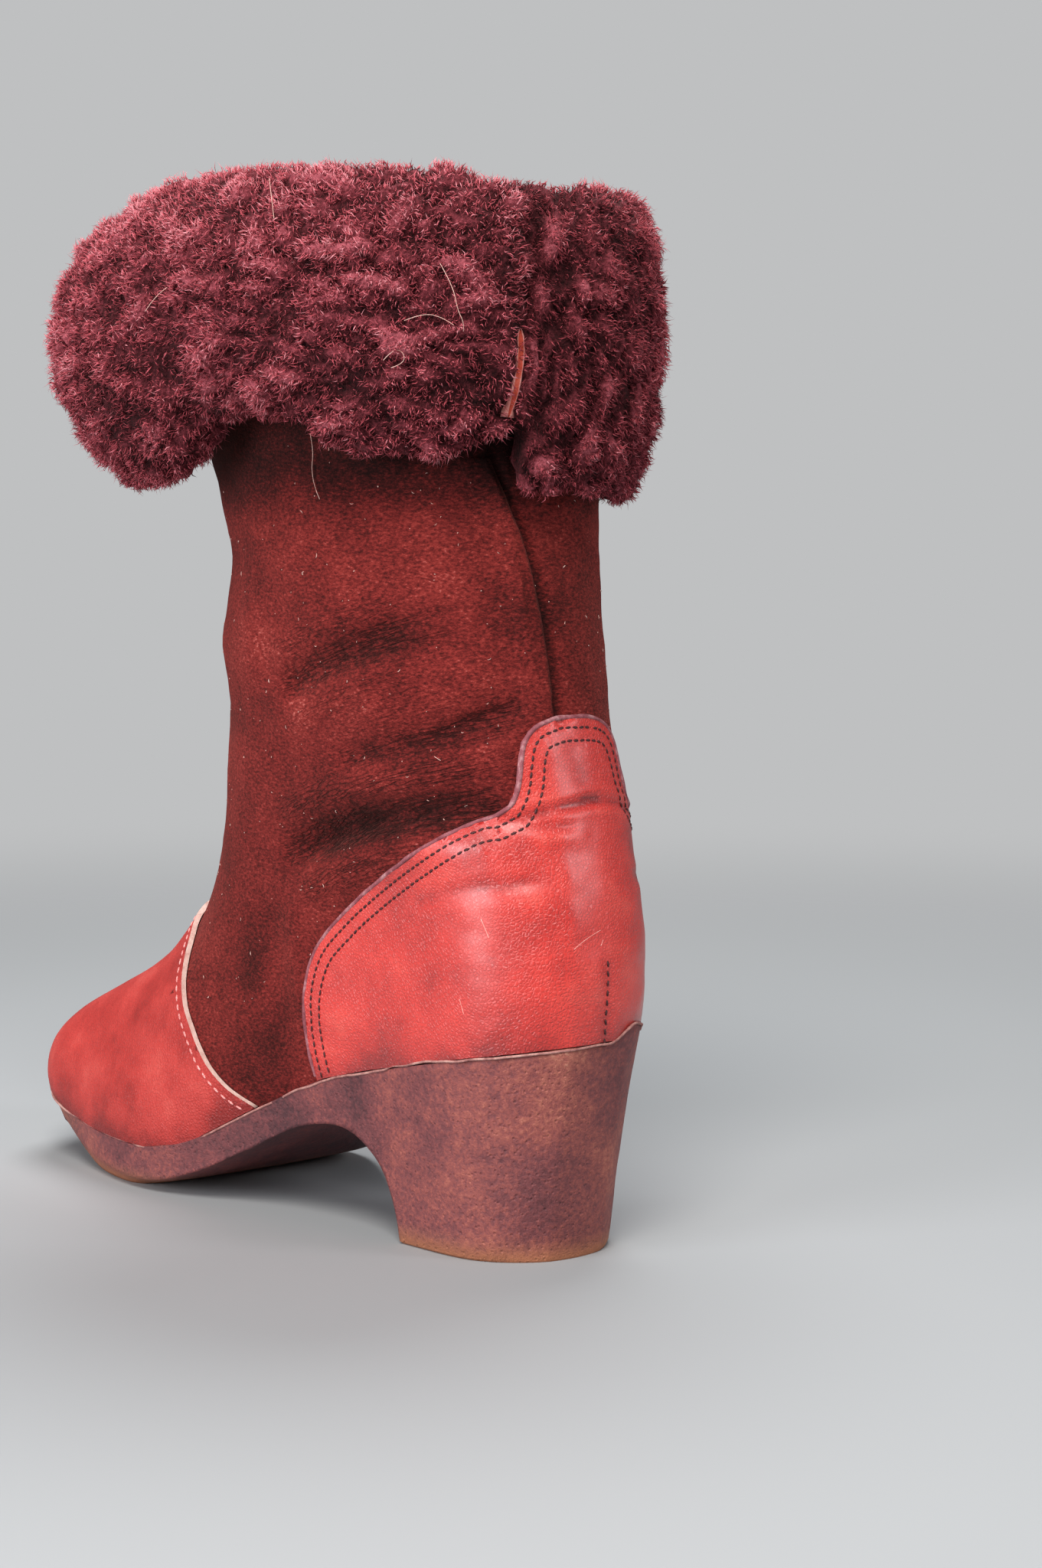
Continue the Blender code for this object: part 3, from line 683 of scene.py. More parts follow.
def mark_suede(mesh, places, out):
    """What the suede's material reads. Nap on the folds' backs is rubbed bright; in the troughs, beside the back seam
    and under the cuff it is darkened with painted shade, and the dark patches darken it too. Fine creases run beside
    the folds, in mm around the shaft and up it."""
    along, side, height = boot_sizes(places)
    turn = turn_of(along, side)
    patchy = uneven(places, ((18, 18, 18), 6.6, 5.0))
    patch_and_shade = np.zeros(len(places))
    for patch_turn, patch_height, wide, tall, dark in DARK_PATCHES_AND_SHADE:
        off = ((turn - patch_turn) / wide) ** 2 + ((height + patchy - patch_height) / tall) ** 2
        patch_and_shade += dark * np.exp(-off)
    # Painted shade under the cuff and beside the back seam, and the dark patches, some of which are painted shade.
    shade = CUFF_SHADE * ramp(height + patchy, *CUFF_SHADE_HEIGHTS)
    shade = shade + SEAM_SHADE * hill(past_seam(places), SEAM_SHADE_AT, SEAM_SHADE_WIDTH) + patch_and_shade
    creased = np.abs(fold_moves(places, SUEDE_FOLDS[:CREASED_FOLDS])) / FULL_CREASE
    remember(mesh, "rub", np.clip(out / FULL_RUB_AND_SHADE, DEEPEST_TROUGH_SHADE, 1) - shade)
    remember(mesh, "creased", np.clip(creased, 0, 1))
    remember(mesh, "around", np.radians(turn) * SHAFT_RADIUS)
    remember(mesh, "climb", height + FOLD_CLIMB * np.abs(turn))


def facing_out(form):
    """Turns an open sheet's faces to look out of the shaft."""
    form.normal_update()
    middle = form.faces[:][len(form.faces) // 2]
    away = middle.calc_center_median() - spot(AXIS_ALONG, 0, 0)
    if middle.normal.dot(away) < 0:
        bmesh.ops.reverse_faces(form, faces=form.faces[:])


cad_upper_tree, cad_sole_tree = (tree_of(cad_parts[node].data) for node in ("upper", "sole"))
smooth_upper = rounded(node_copy("upper"), "suede_upper", 2, HARD_EDGE)
smooth_upper_tree = tree_of(smooth_upper)
hide = form_of(smooth_upper)
hide.normal_update()
low, high = FOLDED_HEIGHTS
folded = [f for f in outer_faces(hide) if low * MM < f.calc_center_median().z < high * MM]
bmesh.ops.subdivide_edges(
    hide, edges=list({e for f in folded for e in f.edges}), cuts=1, use_grid_fill=True, smooth=0.0
)
bmesh.ops.triangulate(hide, faces=[f for f in hide.faces if len(f.verts) > 4])
suede_mesh = to_mesh(hide, "suede_upper")
hide_places = places_of(suede_mesh)
hide_out = hide_moves(hide_places)
move_to(suede_mesh, moved(hide_places, outward_of(hide_places), hide_out))
suede_tree = tree_of(suede_mesh)
mark_suede(suede_mesh, hide_places, hide_out)
piece("suede_upper", suede_mesh, "suede_hide", [suede], "upper")

lap_form = bmesh.new()
bmesh.ops.create_grid(lap_form, x_segments=12, y_segments=90, size=1.0)
for vert in lap_form.verts:
    inward = (vert.co.x + 1) / 2
    height = BACK_SEAM[0][1] + (vert.co.y + 1) / 2 * (BACK_SEAM[-1][1] - BACK_SEAM[0][1])
    ragged = LAP_RAGGED * noise.noise((height / 1.7, 0.0, 4.1)) * (1 - inward)
    turn = seam_turn(height) + math.degrees((inward * LAP_WIDTH + ragged) / SEAM_RADIUS)
    far, axis = round_spot(turn, OUTSIDE, height), round_spot(turn, 0, height)
    place = suede_tree.ray_cast(far, (axis - far).normalized())[0]
    vert.co = place + (far - axis).normalized() * (LAP_LIFT + LAP_RISE * (1 - inward) ** LAP_FALL) * MM
facing_out(lap_form)
lap_mesh = applied(to_mesh(lap_form, "back_seam_lap"), "SOLIDIFY", thickness=LAP_THICKNESS * MM, offset=-1.0)
lap_places = places_of(lap_mesh)
mark_suede(lap_mesh, lap_places, hide_moves(lap_places))
piece("back_seam_lap", lap_mesh, "suede_hide", [suede])

# ---------------- overlays

OVERLAY_OUT, OVERLAY_IN, HALF_WAY_OUT = 2.0, 0.4, 1.1  # an overlay's two skins above the hide, and between them
SAME_WAY = 0.85
MOST_CUTS = 6
SIDE_FACE = 1
SOLE_DIRT_AND_SHADE, SOLE_DIRT_AND_SHADE_FADES = 0.9, 5.0  # dirt and painted shade along the sole, where the leather meets it


def overlay(node, longest):
    """A leather overlay's CAD solid laid on the rounded hide, with its cut sides marked."""
    form = node_copy(node)
    form.normal_update()
    standoff = form.verts.layers.float.new("standoff")
    on_outer_skin = {}
    for vert in form.verts:
        near, out, _, _ = cad_upper_tree.find_nearest(vert.co)
        facing = [f.normal.dot(out) for f in vert.link_faces]
        if max(facing) > SAME_WAY and min(facing) > -SAME_WAY:
            on_outer_skin[vert] = True
        elif min(facing) < -SAME_WAY and max(facing) < SAME_WAY:
            on_outer_skin[vert] = False
        else:
            on_outer_skin[vert] = (vert.co - near).length > HALF_WAY_OUT * MM
        vert[standoff] = OVERLAY_OUT if on_outer_skin[vert] else OVERLAY_IN
    for face in form.faces:
        face.material_index = SIDE_FACE if len({on_outer_skin[v] for v in face.verts}) > 1 else 0
    for _ in range(MOST_CUTS):
        long_edges = [e for e in form.edges if e.calc_length() > longest * MM]
        if not long_edges:
            break
        bmesh.ops.subdivide_edges(form, edges=long_edges, cuts=1)
        bmesh.ops.triangulate(form, faces=form.faces[:])
    standoff = form.verts.layers.float["standoff"]
    for vert in form.verts:
        near, out, _, _ = smooth_upper_tree.find_nearest(vert.co)
        vert.co = near + out * vert[standoff] * MM
    for edge in form.edges:
        if len({f.material_index for f in edge.link_faces}) > 1:
            edge.smooth = False
    return to_mesh(form, node)


def press(mesh, folds, wave):
    """Folds a leather overlay, with a slow unevenness, and notes where it rises: lower places get painted shade, and
    the band along the sole dirt and painted shade.
    """
    places = places_of(mesh)
    own = fold_moves(places, folds)
    waves = uneven(places, ((15, 15, 15), 5.4, wave))
    move_to(mesh, moved(places, outward_of(places), hide_moves(places) + own + waves))
    at_sole = np.array([cad_sole_tree.find_nearest(Vector(p))[3] for p in places]) / MM
    # Darker in the low places, painted shade, and along the sole, dirt and painted shade.
    remember(mesh, "rub", np.clip(own + waves, -1, 1) - SOLE_DIRT_AND_SHADE * np.exp(-at_sole / SOLE_DIRT_AND_SHADE_FADES))
    return mesh


counter_mesh = press(overlay("counter", longest=2.3), COUNTER_FOLDS, wave=0.18)
piece("leather_counter", counter_mesh, "counter_leather", [counter_leather, counter_edge], "counter")
vamp_mesh = press(overlay("vamp", longest=3.0), (), wave=0.15)
piece("leather_vamp", vamp_mesh, "vamp_leather", [vamp_leather, vamp_edge], "vamp")
counter_tree, vamp_tree = tree_of(counter_mesh), tree_of(vamp_mesh)

# ---------------- stitches

HELD_BY_LIP = 2.2  # a rim nearer to the sole than this is under its lip
SHORTEST_RUN = 12  # points
STITCH_PROUD, STITCH_PLUMP = 0.02, 0.42
STITCH_LOOK_AHEAD = 0.4
SEAM_SLANT, DART_SLANT = 0.12, 0.3  # radians that stitches stray
# The counter's raw edge, which stands a little proud of the leather's face and is trimmed by hand.
EDGE_RADIUS, EDGE_SINK, EDGE_PROUD = 0.72, 0.42, 0.2
# The dart at the centre back of the counter: one short upright row of stitches.
DART_SIDE, DART_PITCH = 0.5, 2.7
DART_HEIGHTS = (62.5, 85.0)
# Scuffs where the counter's finish is rubbed through: (along, side, height) from end to end.
SCUFFS = (
    ((0.2, 11.3, 88.9), (-0.4, 8.0, 91.6), (-0.9, 2.4, 93.5)),
    ((25.0, 31.3, 74.4), (24.4, 31.2, 72.4), (23.7, 31.0, 70.3)),
    ((-0.2, 4.0, 87.5), (-0.6, 2.6, 89.0), (-0.8, 1.8, 90.8)),
    ((18.5, 29.0, 97.0), (17.2, 28.4, 94.2), (16.4, 28.0, 92.0)),
)
SCUFF_RADIUS, SCUFF_SINK = 0.15, 0.09


def rim_runs(mesh):
    """An overlay's outer cut edge as runs of (place, outward normal, normal of the cut side), without the part that
    the sole's lip holds."""
    form = form_of(mesh)
    form.verts.ensure_lookup_table()
    standoff = form.verts.layers.float["standoff"]
    links = {}
    for edge in form.edges:
        one, two = edge.verts
        if len({f.material_index for f in edge.link_faces}) < 2 or min(one[standoff], two[standoff]) < HALF_WAY_OUT:
            continue
        middle = (one.co + two.co) / 2
        if (middle - cad_sole_tree.find_nearest(middle)[0]).length >= HELD_BY_LIP * MM:
            tie(links, one.index, two.index)
    runs = []
    for row in chains(links):
        runs.append([])
        for vert in (form.verts[key] for key in row):
            sides = [f.normal for f in vert.link_faces if f.material_index == SIDE_FACE]
            faces = [f.normal for f in vert.link_faces if f.material_index != SIDE_FACE]
            runs[-1].append((vert.co.copy(), sum(faces, Vector()).normalized(), sum(sides, Vector()).normalized()))
    form.free()
    return runs


def inset_lines(mesh, inset):
    """Lines on an overlay's outer face that stay inset from its cut edge: where the seam is sewn."""
    rim = []
    for run in rim_runs(mesh):
        rim += [run[0][0]]
        for (one, _, _), (two, _, _) in zip(run, run[1:]):
            rim += [(one + two) / 2, two]
    finder = finder_of(rim)
    form = form_of(mesh)
    form.verts.index_update()
    standoff = form.verts.layers.float["standoff"]
    past = {v.index: finder.find(v.co)[2] / MM - inset for v in form.verts if v[standoff] > HALF_WAY_OUT}
    crossing, links = {}, {}
    for face in form.faces:
        if face.material_index == SIDE_FACE or any(v.index not in past for v in face.verts):
            continue
        cut = [e for e in face.edges if past[e.verts[0].index] * past[e.verts[1].index] < 0]
        if len(cut) != 2:
            continue
        for edge in cut:
            a, b = edge.verts
            share = past[a.index] / (past[a.index] - past[b.index])
            crossing[edge.index] = (a.co.lerp(b.co, share), (a.normal + b.normal).normalized())
        tie(links, cut[0].index, cut[1].index)
    form.free()
    return [[crossing[key] for key in row] for row in chains(links) if len(row) > SHORTEST_RUN]


def even_points(line, pitch):
    """Points a stitch apart along a line of (place, normal), with the direction of sewing."""
    places = smoothed([p for p, _ in line], 6)
    out = np.array([n for _, n in line])
    run = run_of(places)
    for k in range(int(run[-1] / (pitch * MM))):
        at = (k + 0.5) * pitch * MM
        place = Vector(between(at, run, places))
        ahead = Vector(between(at + STITCH_LOOK_AHEAD * MM, run, places))
        yield place, (ahead - place).normalized(), Vector(between(at, run, out)).normalized()


def add_stitch(form, place, along, out, length, width, slant):
    """One stitch: a short plump thread that dips into the leather at both ends."""
    across = out.cross(along).normalized()
    along = (along * math.cos(slant) + across * math.sin(slant)).normalized()
    across = out.cross(along).normalized()
    turned = Matrix((along, across, out)).transposed().to_4x4()
    size = Matrix.Diagonal((length / 2 * MM, width / 2 * MM, width * STITCH_PLUMP * MM, 1.0))
    stands = Matrix.Translation(place + out * STITCH_PROUD * MM)
    bmesh.ops.create_uvsphere(form, u_segments=8, v_segments=5, radius=1.0, matrix=stands @ turned @ size)


def sew(name, mesh, slot, finish, insets, pitch, length, width):
    form = bmesh.new()
    for inset in insets:
        for line in inset_lines(mesh, inset):
            for place, along, out in even_points(line, pitch):
                add_stitch(form, place, along, out, length, width, rng.uniform(-SEAM_SLANT, SEAM_SLANT))
    piece(name, to_mesh(form, name), slot, [finish])


def edge_line(run):
    """The line of a raw edge's bead along a run of the rim."""
    points = []
    for place, out, side in run:
        waver = 0.16 * noise.noise(place / (4 * MM)) + 0.1 * noise.noise(place / (1.6 * MM))
        points.append(place - out * (EDGE_SINK * MM) + side * ((EDGE_PROUD + waver) * MM))
    return smoothed(points, 2)


def scuff_line(points):
    """A curved scratch on the counter's face."""
    start, middle, end = (spot(*p) for p in points)
    line = []
    for t in np.linspace(0, 1, 9):
        near, out, _, _ = counter_tree.find_nearest(start * (1 - t) ** 2 + middle * 2 * t * (1 - t) + end * t**2)
        line.append(near - out * SCUFF_SINK * MM)
    return line


COUNTER_SEAM = {"insets": (2.8, 6.4), "pitch": 2.3, "length": 1.9, "width": 0.8}
VAMP_SEAM = {"insets": (3.0,), "pitch": 3.2, "length": 2.4, "width": 0.75}
sew("counter_stitches", counter_mesh, "counter_leather", dark_thread, **COUNTER_SEAM)
sew("vamp_stitches", vamp_mesh, "vamp_leather", pink_thread, **VAMP_SEAM)
edge_lines = [edge_line(run) for run in rim_runs(counter_mesh) if len(run) >= SHORTEST_RUN]
edge_mesh = threads("counter_raw_edge", edge_lines, EDGE_RADIUS)
piece("counter_raw_edge", edge_mesh, "counter_leather", [counter_edge])
dart_form = bmesh.new()
for height in np.arange(*DART_HEIGHTS, DART_PITCH):
    place, out, _, _ = counter_tree.ray_cast(spot(-60, DART_SIDE, height), Vector((0, -1, 0)))
    slant = rng.uniform(-DART_SLANT, DART_SLANT)
    add_stitch(dart_form, place, Vector(UP), out, length=1.8, width=0.85, slant=slant)
piece("dart_stitches", to_mesh(dart_form, "dart_stitches"), "counter_leather", [dark_thread])
scuff_mesh = threads("leather_scuffs", [scuff_line(points) for points in SCUFFS], SCUFF_RADIUS)
piece("leather_scuffs", scuff_mesh, "counter_leather", [scuffed])

# ---------------- sole

# The lip was left higher at the heel's inner back corner: its rise in mm, how far it leans out for each mm, and
# where the rise begins and ends.
LIP_CLIMB, LIP_LEAN = 5.0, 0.18
CLIMB_INWARD, CLIMB_ALONG, CLIMB_HEIGHT = (1, 13), (10, 44), (57, 61)
FLAT_TREAD = 6.0  # below this height the sole's unevenness fades, so that it stands flat
HEEL_WEAR, HEEL_WEAR_FADES = 8.0, 7.0
TOE_WEAR, TOE_WEAR_GROWS = 195, 40
# Painted shade on the sole from the waist forward, under the arch: where it grows in, in mm along, where it clears at
# the forefoot, and how much it clears.
WAIST_DARKENS, FOREFOOT_CLEARS, FOREFOOT_CLEARING = (50, 75), (150, 190), 0.4


def climbed(places, height):
    """Places of the lip, raised at the heel's inner back corner."""
    along, side, _ = boot_sizes(places)
    rise = LIP_CLIMB * MM * ramp(-side, *CLIMB_INWARD) * (1 - ramp(along, *CLIMB_ALONG)) * ramp(height, *CLIMB_HEIGHT)
    return places + (outward_of(places) * LIP_LEAN + UP) * rise[:, None]


sole_mesh = rounded(node_copy("sole"), "crepe_sole", 2, SOLE_HARD_EDGE)
sole_places = places_of(sole_mesh)
sole_along, _, sole_height = boot_sizes(sole_places)
sole_moves = uneven(sole_places, ((13, 13, 9), 2.2, 0.28), ((4.5, 4.5, 4.5), 6.1, 0.1))
sole_moves = sole_moves * np.clip(sole_height / FLAT_TREAD, 0, 1)
move_to(sole_mesh, climbed(moved(sole_places, normals_of(sole_mesh), sole_moves), sole_height))
heel_wear = np.clip((HEEL_WEAR - sole_height) / HEEL_WEAR_FADES, 0, 1)
toe_wear = np.clip((sole_along - TOE_WEAR) / TOE_WEAR_GROWS, 0, 1)
cleared = FOREFOOT_CLEARING * ramp(sole_along, *FOREFOOT_CLEARS)
remember(sole_mesh, "worn", np.clip(heel_wear + toe_wear, 0, 1))
# Painted shade from the waist forward, lighter at the forefoot.
remember(sole_mesh, "rub", -ramp(sole_along, *WAIST_DARKENS) * (1 - cleared))
piece("crepe_sole", sole_mesh, "crepe_rubber", [crepe], "sole")

# ---------------- fleece

SLIT = 16.6  # turn of the cuff's slit, between the outer flap and the back flap
SLIT_WIDTH, SLIT_CLOSES, SLIT_CLOSING = 4.0, (254, 268), 0.85
# Hollows between the locks that the photograph shows, sunk and darkened with painted shade: along, side, height, size.
HOLLOWS = (
    (92, 80, 247, 8.0),
    (117, 77.5, 231, 8.0),
    (10.5, 38, 235, 3.0),
    (10.5, 38, 241, 3.0),
    (10.5, 38, 247, 2.6),
)
HOLLOW_DEPTH = 0.8
CORE_VOXEL, CORE_SMOOTHING = 2.0, 14
CORE_SINK, CORE_LOCKS, CORE_GRAIN, CORE_CUT = -1.8, 4.0, 0.9, -0.8  # mm that the core's surface moves out
OPENING = (45, 62)  # half sizes of the collar's opening, side and along
WOOL_INSIDE, WOOL_AGAINST_SHAFT = 0.55, 0.06  # shares of the wool that the outside carries
TUFTS = 4200
LOCKS_A_PIECE = 26000
FUZZ = 24000
# Strands in mm; "hold" is how much a tuft pulls them together, "wild" how much they stray.
LOCK_STRAND = {"shortest": 1.7, "longest": 3.4, "thin": 0.13, "thick": 0.23, "hold": 0.62, "wild": 0.62}
FUZZ_STRAND = {"shortest": 2.2, "longest": 4.6, "thin": 0.06, "thick": 0.11, "hold": 0.25, "wild": 0.9}
STRAND_ROOT = 0.7  # mm under the core's surface
STRAND_MIDDLE, STRAND_CRIMP = 0.55, 0.34  # shares of a strand's length
TIP_SHADE = 0.38  # how much paler a strand is at its tip than at its root
TUFT_STRAY, TUFT_REACH, TUFT_PULL = 0.45, 0.8, 0.75
# Painted light and shade in the strands' colour: lighter at the top and on the outer flap's edge at the slit, darker on
# the back flap, and a painted shadow on the back flap just under the outer flap's edge.
TOP_PAINTED_LIGHT, TOP_LIGHT_HEIGHTS = 0.17, (270, 296)
FLAP_EDGE_PAINTED_LIGHT, BACK_FLAP_PAINTED_SHADE, PAINTED_SHADOW_UNDER_FLAP = 0.2, 0.1, 0.22


def unit(vectors):
    return vectors / np.maximum(np.linalg.norm(vectors, axis=1), 1e-9)[:, None]


def round_way(places):
    """The level direction round the shaft in which the turn grows."""
    return np.cross(outward_of(places), UP)


def flap_shares(turn):
    """How much a place belongs to the outer flap's combed rows and to the back flap's hanging streaks."""
    rows = ramp(turn, SLIT - 0.6, SLIT + 0.8) * (1 - ramp(turn, 78, 108))
    back = ramp(turn, -70, -30) * (1 - ramp(turn, SLIT - 0.8, SLIT + 0.6))
    return rows, back


def at_slit(places, normals):
    """1 on the slit's two cut faces, 0 away from them and nearly 0 at the top, where wool closes it."""
    along, side, height = boot_sizes(places)
    near = hill(turn_of(along, side), SLIT, SLIT_WIDTH) * (1 - SLIT_CLOSING * ramp(height, *SLIT_CLOSES))
    return np.clip(near * np.abs((normals * round_way(places)).sum(1)) * 1.4, 0, 1)


def lock_height(places):
    """Wool locks: rounded tufts with sharp partings, which the colour darkens with painted shade. On the outer flap
    they lie in level combed rows, on the back flap they hang in streaks, and at the front they are round."""
    along, side, _ = boot_sizes(places)
    rows, back = flap_shares(turn_of(along, side))
    tufts = (
        rows * np.abs(noise_at(places, (11, 11, 4.4), 1.7))
        + back * np.abs(noise_at(places, (5.0, 5.0, 12), 7.9))
        + (1 - rows - back) * np.abs(noise_at(places, (7, 7, 6.2), 4.3))
    )
    lumps = np.abs(noise_at(places, (20, 20, 13), 2.9))
    height = np.clip(tufts / 0.42, 0, 1) ** 0.75 * (0.55 + 0.45 * np.clip(lumps / 0.4, 0, 1))
    for *middle, size in HOLLOWS:
        far = np.linalg.norm(places - np.array(spot(*middle)), axis=1)
        height *= 1 - HOLLOW_DEPTH * hill(far, 0, size * MM)
    return height


def wool_share(mesh):
    """How much wool each vertex carries: none on the cut faces and hardly any on the side against the shaft."""
    places, normals = places_of(mesh), normals_of(mesh)
    facing = (normals * outward_of(places)).sum(1)
    along, side, _ = boot_sizes(places)
    inside = (side / OPENING[0]) ** 2 + ((along - AXIS_ALONG) / OPENING[1]) ** 2 < 1
    share = np.where(inside, WOOL_INSIDE, np.where(facing < -0.25, WOOL_AGAINST_SHAFT, 1.0))
    lift = np.zeros(len(places), np.float32)
    mesh.attributes["lift"].data.foreach_get("value", lift)
    return share * (1 - at_slit(places, normals)) * (0.3 + 0.7 * lift), lift


def sampled(mesh, share, lift, count):
    """Seeded random places on a mesh, with normals and the locks' height there."""
    mesh.calc_loop_triangles()
    corners = np.zeros(len(mesh.loop_triangles) * 3, int)
    mesh.loop_triangles.foreach_get("vertices", corners)
    corners = corners.reshape(-1, 3)
    places, normals = places_of(mesh), normals_of(mesh)
    first, second, third = (places[corners[:, i]] for i in range(3))
    areas = np.linalg.norm(np.cross(second - first, third - first), axis=1) * share[corners].mean(1)
    chosen = corners[rng.choice(len(corners), count, p=areas / areas.sum())]
    u, v = rng.random(count), rng.random(count)
    u, v = np.where(u + v > 1, 1 - u, u), np.where(u + v > 1, 1 - v, v)
    shares = np.stack([1 - u - v, u, v], 1)
    place = (places[chosen] * shares[:, :, None]).sum(1)
    normal = (normals[chosen] * shares[:, :, None]).sum(1)
    return place, unit(normal), (lift[chosen] * shares).sum(1)


def strands_mesh(name, paths, radii, lifts):
    """Joined strands: each is a closed spindle with three sides along its bent path, root to tip."""
    count, points = paths.shape[:2]
    rings = points - 2
    heading = unit(paths[:, -1] - paths[:, 0])
    side = unit(np.cross(heading, rng.normal(size=(count, 3))))
    other = np.cross(heading, side)
    corners, climb = [paths[:, 0]], [0.0]
    for ring in range(1, rings + 1):
        for third in range(3):
            angle = 2 * math.pi * third / 3
            across = side * math.cos(angle) + other * math.sin(angle)
            corners.append(paths[:, ring] + across * radii[:, None])
            climb.append(ring / (rings + 1))
    corners.append(paths[:, -1])
    climb.append(1.0)
    faces = []
    for k in range(3):
        n = (k + 1) % 3
        faces.append((0, 1 + n, 1 + k))
        for ring in range(rings - 1):
            low, high = 1 + 3 * ring, 4 + 3 * ring
            faces += [(low + k, low + n, high + n), (low + k, high + n, high + k)]
        faces.append((3 * rings - 2 + k, 3 * rings - 2 + n, 3 * rings + 1))
    each = len(corners)
    faces = (np.array(faces)[None] + (np.arange(count) * each)[:, None, None]).reshape(-1, 3)
    mesh = bpy.data.meshes.new(name)
    mesh.vertices.add(count * each)
    mesh.vertices.foreach_set("co", np.stack(corners, 1).reshape(-1))
    mesh.loops.add(len(faces) * 3)
    mesh.loops.foreach_set("vertex_index", faces.ravel())
    mesh.polygons.add(len(faces))
    mesh.polygons.foreach_set("loop_start", np.arange(0, len(faces) * 3, 3))
    mesh.update(calc_edges=True)
    remember(mesh, "lift", (lifts[:, None] + (np.array(climb)[None] - STRAND_MIDDLE) * TIP_SHADE).reshape(-1))
    return mesh


def grow_wool(mesh, count, shortest, longest, thin, thick, hold, wild):
    """Strands that lean together into tufts: paths, radii and shades."""
    share, lift_there = wool_share(mesh)
    place, normal, lift = sampled(mesh, share, lift_there, count)
    tuft_place, tuft_normal, _ = sampled(mesh, share, lift_there, TUFTS)
    finder = finder_of(tuft_place)
    tuft = np.array([finder.find(p)[1] for p in place])
    along, side, height = boot_sizes(place)
    turn = turn_of(along, side)
    rows, back = flap_shares(turn)
    steep = np.clip((outward_of(place) * normal).sum(1), 0, 1)
    edge = hill(turn - SLIT, 2.5, 3.0) * (turn > SLIT)
    lean = unit(
        normal
        - UP * ((0.2 + 0.8 * back) * steep)[:, None]
        + round_way(place) * (0.35 * rows - 0.5 * edge)[:, None]
        + rng.normal(size=(count, 3)) * wild
    )
    length = (shortest + (longest - shortest) * (0.55 * lift + 0.45 * rng.random(count))) * (1 + 0.1 * edge) * MM
    root = place - normal * STRAND_ROOT * MM
    free_tip = root + lean * (length + STRAND_ROOT * MM)[:, None]
    tuft_way = unit(tuft_normal + rng.normal(size=tuft_normal.shape) * TUFT_STRAY)
    tuft_tip = tuft_place + tuft_way * (TUFT_REACH * longest * MM)
    pull = (hold * (0.6 + 0.8 * rng.random(count)))[:, None]
    tip = free_tip + (tuft_tip[tuft] - free_tip) * TUFT_PULL * pull
    crimp = np.cross(unit(tip - root), unit(rng.normal(size=(count, 3)))) * (STRAND_CRIMP * length)[:, None]
    paths = np.stack([root, root + (tip - root) * STRAND_MIDDLE + crimp, tip], 1)
    width = (thin + (thick - thin) * rng.random(count)) * MM
    under_flap = hill(turn - SLIT, -4.0, 3.0) * (turn < SLIT)
    # Painted light at the top and on the outer flap's edge; painted shade on the back flap and painted shadow under the
    # outer flap's edge.
    painted_light_and_shade = TOP_PAINTED_LIGHT * ramp(height, *TOP_LIGHT_HEIGHTS) + FLAP_EDGE_PAINTED_LIGHT * edge
    painted_light_and_shade = painted_light_and_shade - BACK_FLAP_PAINTED_SHADE * back - PAINTED_SHADOW_UNDER_FLAP * under_flap
    shade = np.clip(0.17 + 0.62 * lift + painted_light_and_shade + rng.normal(size=count) * 0.2, 0.02, 0.97)
    return paths, width, shade


cuff_mesh = to_mesh(node_copy("cuff"), "cuff_copy")
core = form_of(applied(cuff_mesh, "REMESH", mode="VOXEL", voxel_size=CORE_VOXEL * MM))
for _ in range(CORE_SMOOTHING):
    bmesh.ops.smooth_vert(core, verts=core.verts[:], factor=0.5, use_axis_x=True, use_axis_y=True, use_axis_z=True)
core.normal_update()
core_mesh = to_mesh(core, "fleece_core")
core_places, core_normals = places_of(core_mesh), normals_of(core_mesh)
core_lift = lock_height(core_places)
core_fine = noise_at(core_places, (2.8, 2.8, 2.4), 5.5)
core_cut = at_slit(core_places, core_normals)
core_moves = (CORE_SINK + CORE_LOCKS * core_lift + CORE_GRAIN * core_fine) * (1 - core_cut) + CORE_CUT * core_cut
move_to(core_mesh, moved(core_places, core_normals, core_moves))
# The slit's cut faces are darker: painted shade.
remember(core_mesh, "lift", np.clip((0.1 + 0.85 * core_lift) * (1 - 0.7 * core_cut), 0, 1))
piece("fleece_core", core_mesh, "fleece", [wool_in_painted_shade], "cuff")
for part in (1, 2, 3):
    name = f"fleece_locks_{part}"
    locks = grow_wool(core_mesh, LOCKS_A_PIECE, **LOCK_STRAND)
    piece(name, strands_mesh(name, *locks), "fleece", [wool])
fuzz = grow_wool(core_mesh, FUZZ, **FUZZ_STRAND)
piece("fleece_fuzz", strands_mesh("fleece_fuzz", *fuzz), "fleece", [wool])

# The hide's cut edge that shows at the slit, on the lower half of the outer flap: turn, distance from the shaft's
# axis and height of its middle, from top to bottom.
CUT_EDGE = ((17.4, 79.2, 256), (17.8, 81.0, 251), (18.1, 81.3, 246), (18.75, 80.3, 239), (19.4, 77.4, 232.5))
CUT_EDGE_WIDTH, CUT_EDGE_DEPTH, CUT_EDGE_COLUMNS = 1.8, 2.0, 10
GRAIN_FACE = 1

